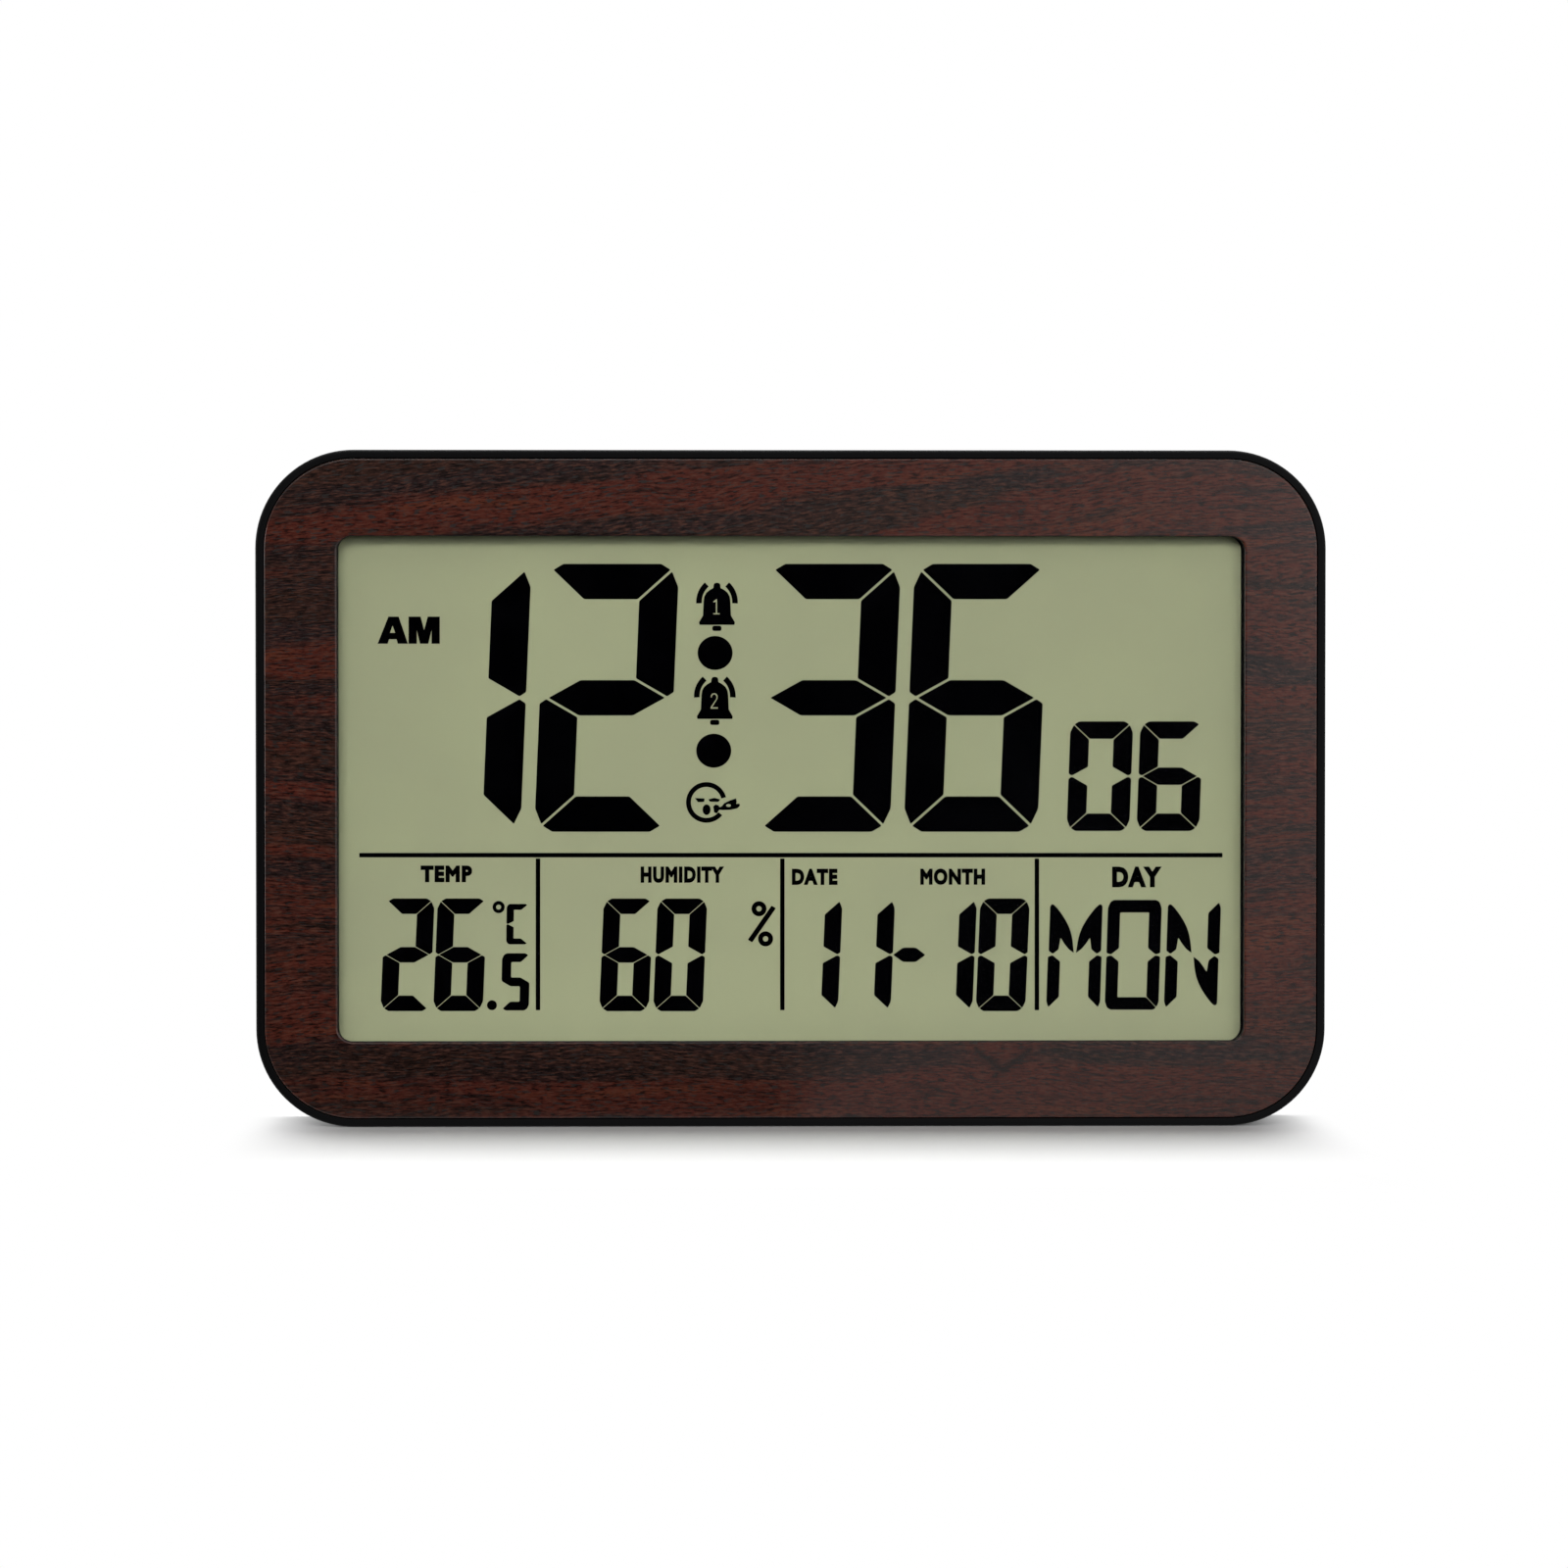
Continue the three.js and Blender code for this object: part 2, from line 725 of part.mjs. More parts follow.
/** The tray that holds the display glass, with four ears for its screws. */
function displayHolder() {
  const height = holderTop - holderBottom;
  const centre = (holderTop + holderBottom) / 2;
  const outer = roundedOutline(holderWidth, height, holderRim, 0, centre, 2);
  const inside = [glassWidth / 2 + seatGap, ledgeBottom - seatGap, glassTop + seatGap];
  const tray = cut(
    plate(outer, filmFront, holderBack),
    slab(inside[0], filmFront - overcut, holderFront, inside[1], inside[2]),
    holderOpenings().map((opening) => plate(opening, holderFront - overcut, holderBack + overcut)),
    slab(
      contactStripLength / 2 + slideGap,
      holderFront - overcut,
      holderBack + overcut,
      (ledgeBottom + glassBottom) / 2 - contactStripHeight / 2 - slideGap,
      (ledgeBottom + glassBottom) / 2 + contactStripHeight / 2 + slideGap,
    ),
  );
  const half = earWidth / 2;
  const ears = [-earX, earX].flatMap((x) => [
    block(x - half, x + half, holderFront, holderBack, holderTop - holderRim, holderTop + earReach),
    block(x - half, x + half, holderFront, holderBack, holderBottom - earReach, holderBottom + holderRim),
  ]);
  const holes = fourSpots(earX, lowerEarHole, upperEarHole).map(([x, z]) =>
    rod(shankRadius + screwClearance, x, z, holderFront - overcut, holderBack + overcut, smallRodSides),
  );
  const reliefs = fourSpots(screwX, screwLow, screwHigh).map(([x, z]) =>
    rod(bossRadius + runningGap, x, z, filmFront - overcut, holderBack + overcut),
  );
  return cut(join(tray, ears, boardHook(-hookX), boardHook(hookX)), holes, reliefs);
}

/** The rubber strip that joins the glass to the main board. */
function contactStrip() {
  const centre = (ledgeBottom + glassBottom) / 2;
  const half = contactStripHeight / 2;
  const front = frontGlassBack + filmGap;
  const back = boardFront - filmGap;
  return slab(contactStripLength / 2, front, back, centre - half, centre + half);
}

/** The main board, whose two lower ears share the holder's screws. */
function mainBoard() {
  const half = earWidth / 2;
  const board = slab(boardWidth / 2, boardFront, boardBack, boardBottom, boardTop);
  const ears = [-earX, earX].map((x) =>
    block(x - half, x + half, boardFront, boardBack, holderBottom - earReach, boardBottom + half),
  );
  const hole = shankRadius + screwClearance;
  const holes = [-earX, earX].map((x) =>
    rod(hole, x, lowerEarHole, boardFront - overcut, boardBack + overcut, smallRodSides),
  );
  return cut(join(board, ears), holes);
}

/** The drop of black resin over the clock's chip, with its flat side at y = 0. */
function chipCover() {
  const steps = 4;
  const dome = Array.from({ length: steps + 1 }, (_, i) => {
    const angle = ((i / steps) * Math.PI) / 2;
    return [chipRadius * Math.cos(angle), chipRise * Math.sin(angle)];
  });
  dome[steps][0] = 0;
  return turned([[0, 0], ...dome]);
}

/** A plain turned cylinder with softened ends, from y = 0 up. */
function can(radius, length, edge) {
  return turned(
    [
      [0, 0],
      [radius - edge, 0],
      [radius, edge],
      [radius, length - edge],
      [radius - edge, length],
      [0, length],
    ],
    smallRodSides,
  );
}

/** An AA cell along +y, with its flat end at y = 0. */
function cell() {
  return turned([
    [0, 0],
    [cellRadius - cellEdge, 0],
    [cellRadius, cellEdge],
    [cellRadius, cellLength - cellEdge],
    [cellRadius - cellEdge, cellLength],
    [cellNubRadius, cellLength],
    [cellNubRadius, cellLength + cellNubLength],
    [0, cellLength + cellNubLength],
  ]);
}

/** A point of the cone spring's wire, at a share of its length from the base. */
function springPoint(share) {
  const angle = share * springTurns * 2 * Math.PI;
  const radius = THREE.MathUtils.lerp(springBaseRadius, springTipRadius, share);
  const reach = share * (springLength - springWireRadius);
  return new THREE.Vector3(reach, radius * Math.cos(angle), radius * Math.sin(angle));
}

/** The least gap between neighbouring turns of the spring, measured on points of its wire. */
function springGap() {
  const count = springTurns * springCurlSteps * 4;
  const points = Array.from({ length: count + 1 }, (_, i) => springPoint(i / count));
  const apart = count / springTurns / 2;
  let least = Infinity;
  points.forEach((point, i) => {
    points.slice(i + apart).forEach((other) => {
      least = Math.min(least, point.distanceTo(other));
    });
  });
  return least - 2 * springWireRadius;
}

/** The cone spring along +x, as one unbroken tube. */
function coneSpring() {
  const rings = springTurns * springCurlSteps;
  const positions = [];
  const indices = [];
  for (let ring = 0; ring <= rings; ring += 1) {
    const centre = springPoint(ring / rings);
    const angle = (ring / springCurlSteps) * 2 * Math.PI;
    for (let side = 0; side < springSides; side += 1) {
      const turn = (side / springSides) * 2 * Math.PI;
      const out = springWireRadius * Math.cos(turn);
      positions.push(
        centre.x + springWireRadius * Math.sin(turn),
        centre.y + out * Math.cos(angle),
        centre.z + out * Math.sin(angle),
      );
    }
  }
  for (let ring = 0; ring < rings; ring += 1) {
    for (let side = 0; side < springSides; side += 1) {
      const a = ring * springSides + side;
      const b = ring * springSides + ((side + 1) % springSides);
      indices.push(a, a + springSides, b, b, a + springSides, b + springSides);
    }
  }
  const last = rings * springSides;
  for (let side = 1; side + 1 < springSides; side += 1) {
    indices.push(0, side, side + 1, last, last + side + 1, last + side);
  }
  const geometry = new THREE.BufferGeometry();
  geometry.setAttribute("position", new THREE.Float32BufferAttribute(positions, 3));
  geometry.setIndex(indices);
  return solidOf(geometry);
}

/** The plate of a contact at the left end of the bay, between two heights from the bay's middle. */
function contactPlate(low, high) {
  return block(
    -contactFace - contactThickness,
    -contactFace,
    bayFloor + fitGap,
    bayFloor + fitGap + contactRise,
    bayMiddle + low,
    bayMiddle + high,
  );
}

/** The raised dimple that meets a cell's positive end, on the left end's contact. */
function contactDimple(height) {
  const dimple = new THREE.CylinderGeometry(
    contactDimpleRadius * 0.6,
    contactDimpleRadius,
    contactDimpleHeight + contactThickness / 2,
    smallRodSides,
  );
  const centreX = contactDimpleHeight / 2 - contactThickness / 4 - contactFace;
  dimple.rotateZ(-Math.PI / 2);
  dimple.translate(centreX, yAt(cellDepth), bayMiddle + height);
  return solidOf(dimple);
}

/** The spring that meets a cell's flat end, on the left end's contact. */
function contactSpring(height) {
  return coneSpring().translate(-contactFace, yAt(cellDepth), bayMiddle + height);
}

/** The tab of a contact, which passes through the end wall of the bay for its lead. */
function contactTab(height) {
  const half = contactTabWidth / 2;
  return block(
    -contactFace - contactThickness / 2 - contactTabReach,
    -contactFace - contactThickness / 2,
    contactTabDepth - contactThickness / 2,
    contactTabDepth + contactThickness / 2,
    bayMiddle + height - half,
    bayMiddle + height + half,
  );
}

/** Posts that keep the edges of the contacts at one end of the bay, for one height. */
function contactGuides(side, height, edges) {
  const back = contactFace - slideGap;
  const inner = back - pocketWall / 2;
  const half = contactWidth / 2;
  return edges.flatMap((edge) => {
    const near = height + edge * (half - slideGap * 4);
    const far = height + edge * (half + slideGap);
    const end = height + edge * (half + slideGap + pocketWall);
    const lip = [side * inner, side * back].sort((a, b) => a - b);
    const wall = [side * back, side * (bayEnd + bayWall / 2)].sort((a, b) => a - b);
    const lipZ = [near, end].sort((a, b) => a - b);
    const wallZ = [far, end].sort((a, b) => a - b);
    const top = bayFloor + contactRise * 0.9;
    const low = bayFloor - bayWall / 2;
    return [
      block(lip[0], lip[1], low, top, bayMiddle + lipZ[0], bayMiddle + lipZ[1]),
      block(wall[0] - filmGap, wall[1], low, top, bayMiddle + wallZ[0], bayMiddle + wallZ[1]),
    ];
  });
}

/** The keyhole: a round entry with a slot above it, grown by a margin. */
function keyholeCut(entry, slot, front, back) {
  const top = keyholeEntry + keyholeRise;
  return join(
    rod(entry, 0, keyholeEntry, front, back),
    rod(slot, 0, top, front, back),
    slab(slot, front, back, keyholeEntry, top),
  );
}

/** The solids that the back wall carries on its inside, before they are hollowed. */
function coverBlocks() {
  const inside = coverInside + caseWall / 4;
  const bayReach = bayEnd + bayWall;
  const bayRise = bayHeight / 2 + bayWall;
  const doorReach = doorWidth / 2 + slideGap + pocketWall;
  const doorRise = doorHeight / 2 + slideGap + pocketWall;
  const recess = standRecessEdge + pocketWall;
  const pinReach = standRecessEdge + standPinLength + pocketWall;
  const pinRise = standPinRadius + standPinClearance + pocketWall;
  const troughRise = standTroughReach + pocketWall;
  const scoopTop = doorTop + slideGap + scoopHeight + pocketWall;
  const bedWidth = buttonBedWidth + 2 * pocketWall;
  const bedHeight = buttonBedHeight + 2 * pocketWall;
  const bed = roundedOutline(bedWidth, bedHeight, buttonBedMargin, buttonX, buttonMiddle);
  const pivot = standPivotHeight;
  const keyholeOuter = keyholePocketRadius + pocketWall;
  const lowEdge = caseWall / 2;
  return [
    slab(bayReach, bayFloor - bayWall, inside, bayMiddle - bayRise, bayMiddle + bayRise),
    slab(doorReach, doorSeat - doorLedgeThickness, inside, bayMiddle - doorRise, bayMiddle + doorRise),
    slab(scoopWidth / 2 + pocketWall, caseDepth - scoopDepth - pocketWall, inside, doorTop, scoopTop),
    slab(recess, standHeelBed - pocketWall, inside, pivot, standRecessTop + pocketWall),
    slab(recess, standBed - pocketWall, inside, lowEdge, pivot),
    slab(recess, standTrough - pocketWall, inside, pivot - troughRise, pivot + troughRise),
    slab(pinReach, standPivotDepth - pinRise, inside, pivot - pinRise, pivot + pinRise),
    slab(
      fingerPocketWidth / 2 + pocketWall,
      caseDepth - fingerPocketDepth - pocketWall,
      inside,
      lowEdge,
      fingerPocketHeight + pocketWall,
    ),
    plate(bed, buttonBedInside, inside),
    keyholeCut(keyholeOuter, keyholeOuter, keyholeFloor - pocketWall, inside),
  ];
}

/** The bosses, posts and ring that stand on the inside of the back wall. */
function coverPosts() {
  const inside = coverInside + caseWall / 4;
  const outer = headRadius + screwClearance + pocketWall;
  const corners = fourSpots(screwX, screwLow, screwHigh);
  const ringFront = coverInside - sounderRingDepth;
  const ringBore = sounderRingRadius - sounderRingWall;
  return [
    ...corners.map(([x, z]) => rod(outer, x, z, screwSeat - screwWeb, inside)),
    ...keyPostHeights.map((z) => rod(smallBossRadius, buttonX, z, keyBoardBack + fitGap, inside)),
    ...[-1, 1].map((side) =>
      rod(smallBossRadius, ventX + side * sensorPostReach, ventHeight, sensorBoardBack + fitGap, inside),
    ),
    cut(
      rod(sounderRingRadius, ventX, sounderHeight, ringFront, inside, rodSides),
      rod(ringBore, ventX, sounderHeight, ringFront - overcut, coverInside, rodSides),
    ),
  ];
}

/** The hollows of the battery bay, its door seat and the scoop above it. */
function bayHollows() {
  const door = roundedOutline(
    doorWidth + 2 * slideGap,
    doorHeight + 2 * slideGap,
    doorCornerRadius + slideGap,
    0,
    bayMiddle,
  );
  const out = caseDepth + overcut;
  const doorEdge = doorBottom - slideGap;
  const bayLow = bayMiddle - bayHeight / 2;
  const tabLow = doorEdge - doorTabReach - slideGap;
  const tabInner = doorInside - doorTabDepth - seatGap - slideGap;
  const tabSlots = [-1, 1].flatMap((side) => {
    const x0 = side * doorTabX - doorTabWidth / 2 - seatGap;
    const x1 = side * doorTabX + doorTabWidth / 2 + seatGap;
    return [
      block(x0, x1, tabInner, coverInside, tabLow, bayLow + overcut),
      block(x0, x1, tabInner, doorInside, doorEdge, bayLow + overcut),
    ];
  });
  const half = contactTabWidth / 2 + slideGap;
  const leadSlots = [-1, 1].map((side) =>
    block(
      bayEnd - overcut,
      bayEnd + bayWall + overcut,
      contactTabDepth - contactThickness / 2 - slideGap,
      contactTabDepth + contactThickness / 2 + slideGap,
      bayMiddle + (side * cellPitch) / 2 - half,
      bayMiddle + (side * cellPitch) / 2 + half,
    ),
  );
  return [
    slab(bayEnd, bayFloor, out, bayLow, bayLow + bayHeight),
    plate(door, doorSeat, out),
    slab(scoopWidth / 2, caseDepth - scoopDepth, out, doorTop, doorTop + slideGap + scoopHeight),
    ...tabSlots,
    ...leadSlots,
  ];
}

/** The hollows of the stand's recess, its pivots and the finger pocket under its end. */
function standHollows() {
  const out = caseDepth + overcut;
  const pinHole = standPinRadius + standPinClearance;
  const pinReach = standRecessEdge + standPinLength - runningGap + standPinClearance;
  const pivot = standPivotHeight;
  return [
    slab(standRecessEdge, standBed, out, -overcut, pivot),
    slab(standRecessEdge, standHeelBed, out, pivot, standRecessTop),
    slab(standRecessEdge, standTrough, out, pivot - standTroughReach, pivot + standTroughReach),
    slab(fingerPocketWidth / 2, caseDepth - fingerPocketDepth, out, -overcut, fingerPocketHeight),
    axle(pinHole, standPivotDepth, pivot, -pinReach, pinReach),
  ];
}

/** The openings of the buttons, vents, sounder, keyhole and screws. */
function coverHoles() {
  const out = caseDepth + overcut;
  const corners = fourSpots(screwX, screwLow, screwHigh);
  const smallPilot = smallShankRadius + screwClearance;
  const buttonHole = (z) =>
    roundedOutline(
      buttonLength + 2 * slideGap,
      buttonHeight + 2 * slideGap,
      buttonCornerRadius + slideGap,
      buttonX,
      z,
      buttonSteps,
    );
  const bed = roundedOutline(buttonBedWidth, buttonBedHeight, buttonBedMargin, buttonX, buttonMiddle);
  const vents = Array.from({ length: ventCount }, (_, i) => {
    const z = ventHeight + (i - (ventCount - 1) / 2) * ventPitch;
    const slot = roundedOutline(ventLength, ventWidth, ventWidth * 0.45, ventX, z, 1);
    return plate(slot, coverInside - overcut, out);
  });
  const soundHoles = Array.from({ length: sounderHoleCount }, (_, i) => {
    const angle = (i / sounderHoleCount) * 2 * Math.PI;
    const x = ventX + sounderHoleCircle * Math.cos(angle);
    const z = sounderHeight + sounderHoleCircle * Math.sin(angle);
    return rod(sounderHoleRadius, x, z, coverInside - overcut, out, leadSides);
  });
  const pilotEnd = smallScrewLength - smallBoardThickness + screwClearance;
  return [
    plate(bed, buttonBed, out),
    ...buttonHeights.map((z) => plate(buttonHole(z), buttonBedInside - overcut, out)),
    ...vents,
    ...soundHoles,
    rod(sounderHoleRadius, ventX, sounderHeight, coverInside - overcut, out, leadSides),
    keyholeCut(keyholePocketRadius, keyholePocketRadius, keyholeFloor, coverInside),
    keyholeCut(keyholeEntryRadius, keyholeSlotRadius, coverInside - overcut, out),
    ...corners.map(([x, z]) => rod(headRadius + screwClearance, x, z, screwSeat, out)),
    ...corners.map(([x, z]) =>
      rod(shankRadius + screwClearance, x, z, screwSeat - screwWeb - overcut, out, smallRodSides),
    ),
    ...keyPostHeights.map((z) =>
      rod(smallPilot, buttonX, z, keyBoardBack, keyBoardBack + pilotEnd, smallRodSides),
    ),
    ...[-1, 1].map((side) =>
      rod(
        smallPilot,
        ventX + side * sensorPostReach,
        ventHeight,
        sensorBoardBack,
        sensorBoardBack + pilotEnd,
        smallRodSides,
      ),
    ),
  ];
}

/** The tongue that fits inside the front case. */
function coverTongue() {
  const outer = caseWall + tongueGap;
  const inner = outer + tongueThickness;
  const front = partingDepth - tongueLength;
  const back = coverFront + tongueLength;
  return join(
    plate(caseOutline(outer), front, back, [caseOutline(inner)]),
    plate(caseOutline(caseWall / 2), coverFront, back, [caseOutline(inner)]),
  );
}

/** Room in the cover for the front case's corner bosses. */
function bossRooms() {
  const front = partingDepth - tongueLength - overcut;
  return fourSpots(screwX, screwLow, screwHigh).map(([x, z]) =>
    rod(bossRadius + runningGap, x, z, front, screwSeat - screwWeb),
  );
}

/** The ridge between the cells and the posts that keep the contacts. */
function bayFittings() {
  const wide = bayRidgeWidth / 2;
  const ridge = prism(
    [
      [bayFloor - bayWall / 2, bayMiddle - wide],
      [bayFloor - bayWall / 2, bayMiddle + wide],
      [bayFloor + bayRidgeHeight, bayMiddle + wide * 0.4],
      [bayFloor + bayRidgeHeight, bayMiddle - wide * 0.4],
    ],
    -cellLength / 3,
    cellLength / 3,
  );
  return [
    ridge,
    ...contactGuides(-1, cellPitch / 2, [1]),
    ...contactGuides(-1, -cellPitch / 2, [-1]),
    ...contactGuides(1, cellPitch / 2, [1, -1]),
    ...contactGuides(1, -cellPitch / 2, [1, -1]),
  ];
}

/** The back half of the case, with everything that is moulded into it. */
function rearCover() {
  const outside = loft([
    { outline: caseOutline(0), depth: coverFront },
    ...backRound(caseOutline, backEdgeRound, caseDepth),
  ]);
  const shell = cut(outside, plate(caseOutline(caseWall), coverFront - overcut, coverInside));
  const solid = join(shell, coverBlocks(), coverPosts(), coverTongue());
  const hollowed = cut(solid, bayHollows(), standHollows(), coverHoles(), bossRooms());
  return join(hollowed, bayFittings());
}

/** The battery door, with its wedge tabs, its latch and the grip lines on its outside. */
function batteryDoor() {
  const panel = plate(
    roundedOutline(doorWidth, doorHeight, doorCornerRadius, 0, bayMiddle),
    doorInside,
    caseDepth,
  );
  const bevel = prism(
    [
      [doorInside - overcut, doorTop - doorThickness - overcut - fitGap],
      [caseDepth + overcut, doorTop + overcut - fitGap],
      [doorInside - overcut, doorTop + overcut],
    ],
    -doorWidth,
    doorWidth,
  );
  const edge = doorBottom - slideGap;
  const inner = doorInside - doorTabDepth - seatGap;
  const wallFace = coverInside - tongueGap;
  const low = edge - doorTabReach;
  const bayLow = bayMiddle - bayHeight / 2;
  const tabProfile = [
    [inner, low],
    [wallFace - doorTabReach - tongueGap, low],
    [wallFace, edge + tongueGap],
    [wallFace, bayLow + slideGap],
    [doorInside + doorThickness / 2, bayLow + slideGap],
    [doorInside + doorThickness / 2, bayLow + slideGap + 2 * doorThickness - 1],
    [inner, bayLow + slideGap + 2 * doorThickness - 1],
  ];
  const tabs = [-1, 1].map((side) =>
    prism(tabProfile, side * doorTabX - doorTabWidth / 2, side * doorTabX + doorTabWidth / 2),
  );
  const latchTop = doorTop + doorLipReach;
  const lip = slab(doorLipWidth / 2, doorInside, caseDepth, doorTop - doorThickness * 2, latchTop);
  const latch = slab(
    doorLipWidth / 2,
    doorInside - doorLatchDepth,
    doorInside + doorThickness / 2,
    latchTop - doorLatchThickness,
    latchTop,
  );
  const grips = Array.from({ length: gripCount }, (_, i) => {
    const low = doorTop - doorThickness * 2 - (i + 1) * gripPitch;
    return slab(gripLength / 2, caseDepth - gripDepth, caseDepth + overcut, low, low + gripWidth);
  });
  return cut(join(cut(panel, bevel), tabs, lip, latch), grips);
}

/** The fold-out stand, with its barrel, pins, heel and cored inner side. */
function standLeg() {
  const top = standPivotHeight + standHeelHeight;
  const inner = caseDepth - standThickness;
  const height = standPivotHeight - standEndGap;
  const centre = standEndGap + height / 2;
  const corner = standCornerRadius;
  const outline = roundedOutline(standWidth, height + 2 * corner, corner, 0, centre + corner);
  const above = slab(standWidth, inner - overcut, caseDepth + overcut, standPivotHeight, top + 3 * corner);
  const leg = cut(plate(outline, inner, caseDepth), above);
  const barrel = axle(standBarrelRadius, standPivotDepth, standPivotHeight, -standWidth / 2, standWidth / 2);
  const pinEnd = standWidth / 2 + standPinLength;
  const pins = axle(standPinRadius, standPivotDepth, standPivotHeight, -pinEnd, pinEnd);
  const heel = slab(standWidth / 2, caseDepth - standHeelThickness, caseDepth, standPivotHeight, top);
  const coreWidth = (standWidth - standRib * (standCoreColumns + 1)) / standCoreColumns;
  const coreSpan = height - standBarrelRadius - standRib;
  const coreHeight = (coreSpan - standRib * (standCoreRows + 1)) / standCoreRows;
  const cores = [];
  for (let column = 0; column < standCoreColumns; column += 1) {
    for (let row = 0; row < standCoreRows; row += 1) {
      const x = (column - (standCoreColumns - 1) / 2) * (coreWidth + standRib);
      const low = standEndGap + standRib * 1.5 + row * (coreHeight + standRib);
      cores.push(
        plate(
          roundedOutline(coreWidth, coreHeight, standRib / 2, x, low + coreHeight / 2, 2),
          inner - overcut,
          inner + standCoreDepth,
        ),
      );
    }
  }
  return join(cut(leg, cores), barrel, pins, heel);
}

/** A setting button: its cap, its flange and its stem, centred on x = z = 0. */
function button() {
  const grown = (growth) => {
    const length = buttonLength + 2 * growth;
    const height = buttonHeight + 2 * growth;
    return roundedOutline(length, height, buttonCornerRadius + growth, 0, 0, buttonSteps);
  };
  const cap = (inset) => grown(-inset);
  const face = backRound(cap, buttonEdgeRound, caseDepth - buttonSetback, smallRoundSteps);
  return join(
    loft([{ outline: cap(0), depth: flangeInner }, ...face]),
    plate(grown(buttonFlange), flangeInner, flangeOuter),
    rod(buttonStemRadius, 0, 0, switchBack + plungerShown + fitGap, flangeInner + filmGap, smallRodSides),
  );
}

/** The body of a push switch, open for its plunger, centred on x = z = 0. */
function switchBody() {
  const half = switchSize / 2;
  const floor = switchBack - plungerSunk - buttonTravel - fitGap;
  return cut(
    block(-half, half, switchFront, switchBack, -half, half),
    rod(plungerRadius + slideGap, 0, 0, floor, switchBack + overcut, smallRodSides),
  );
}

/** The plunger of a push switch, centred on x = z = 0. */
function plunger() {
  return rod(plungerRadius, 0, 0, switchBack - plungerSunk, switchBack + plungerShown, smallRodSides);
}

/** The board that carries the six switches. */
function keyBoard() {
  const half = keyBoardWidth / 2;
  const board = block(
    buttonX - half,
    buttonX + half,
    keyBoardDepth,
    keyBoardBack,
    buttonMiddle - buttonSpread / 2,
    buttonMiddle + buttonSpread / 2,
  );
  const hole = smallShankRadius + screwClearance;
  const front = keyBoardDepth - overcut;
  return cut(
    board,
    keyPostHeights.map((z) => rod(hole, buttonX, z, front, keyBoardBack + overcut, smallRodSides)),
  );
}

/** The board behind the vents, which carries the sensor. */
function sensorBoard() {
  const board = block(
    ventX - sensorBoardWidth / 2,
    ventX + sensorBoardWidth / 2,
    sensorBoardFront,
    sensorBoardBack,
    ventHeight - sensorBoardHeight / 2,
    ventHeight + sensorBoardHeight / 2,
  );
  const hole = smallShankRadius + screwClearance;
  return cut(
    board,
    [-1, 1].map((side) =>
      rod(
        hole,
        ventX + side * sensorPostReach,
        ventHeight,
        sensorBoardFront - overcut,
        sensorBoardBack + overcut,
        smallRodSides,
      ),
    ),
  );
}

/** The humidity and temperature sensor, with slots that let the air in. */
function humiditySensor() {
  const front = sensorBoardBack + filmGap;
  const back = front + sensorDepth;
  const half = sensorWidth / 2;
  const rise = sensorHeight / 2;
  const body = block(ventX - half, ventX + half, front, back, ventHeight - rise, ventHeight + rise);
  const slots = [-1, 0, 1].map((step) => {
    const x = ventX + (step * sensorWidth) / 4;
    const wide = sensorWidth / 20;
    const deep = back - sensorDepth / 3;
    return block(x - wide, x + wide, deep, back + overcut, ventHeight - rise / 2, ventHeight + rise / 2);
  });
  return cut(body, slots);
}

/** The case and the front panel. */
function caseGroup() {
  const group = new THREE.Group();
  place(group, "front_panel", frontPanel(), looks.wood);
  place(group, "front_case", frontCase(), looks.case);
  place(group, "rear_cover", rearCover(), looks.cover);
  fourSpots(screwX, screwLow, screwHigh).forEach(([x, z], i) => {
    place(group, `case_screw_${i + 1}`, caseScrew(), looks.steel, x, yAt(screwSeat + filmGap), z);
  });
  return group;
}

/** The window and the display behind it, with the screws that hold them. */
function displayGroup() {
  const group = new THREE.Group();
  place(group, "window_lens", windowLens(), looks.lens);
  place(group, "front_polariser", displaySheet(filmMargin, filmFront, filmThickness), looks.display);
  const frontGlass = displaySheet(glassMargin, frontGlassFront, glassThickness, contactLedge);
  place(group, "front_glass", frontGlass, looks.glass);
  place(group, "rear_glass", displaySheet(glassMargin, rearGlassFront, glassThickness), looks.glass);
  place(group, "reflector", displaySheet(filmMargin, reflectorFront, filmThickness), looks.display);
  place(group, "display_holder", displayHolder(), looks.holder);
  place(group, "contact_strip", contactStrip(), looks.rubber);
  fourSpots(earX, lowerEarHole, upperEarHole).forEach(([x, z], i) => {
    const seat = (i < 2 ? boardBack : holderBack) + filmGap;
    const length = seat - holderScrewTip;
    const holderScrew = screw(headRadius, headHeight, shankRadius, length);
    place(group, `holder_screw_${i + 1}`, holderScrew, looks.steel, x, yAt(seat), z);
  });
  return group;
}

/** The main board and what is soldered to it. */
function mainBoardGroup() {
  const group = new THREE.Group();
  const surface = yAt(boardBack + filmGap);
  const centre = (boardBottom + boardTop) / 2;
  place(group, "main_board", mainBoard(), looks.board);
  place(group, "chip_cover", chipCover(), looks.epoxy, chipX, surface, centre);
  const crystal = can(crystalRadius, crystalLength, crystalRadius / 6);
  const lying = place(group, "crystal_can", crystal, looks.steel, crystalX, surface + crystalRadius, centre);
  lying.rotation.x = Math.PI / 2;
  const capacitor = can(capacitorRadius, capacitorLength, capacitorRadius / 8);
  place(group, "capacitor", capacitor, looks.black, capacitorX, surface, centre);
  return group;
}

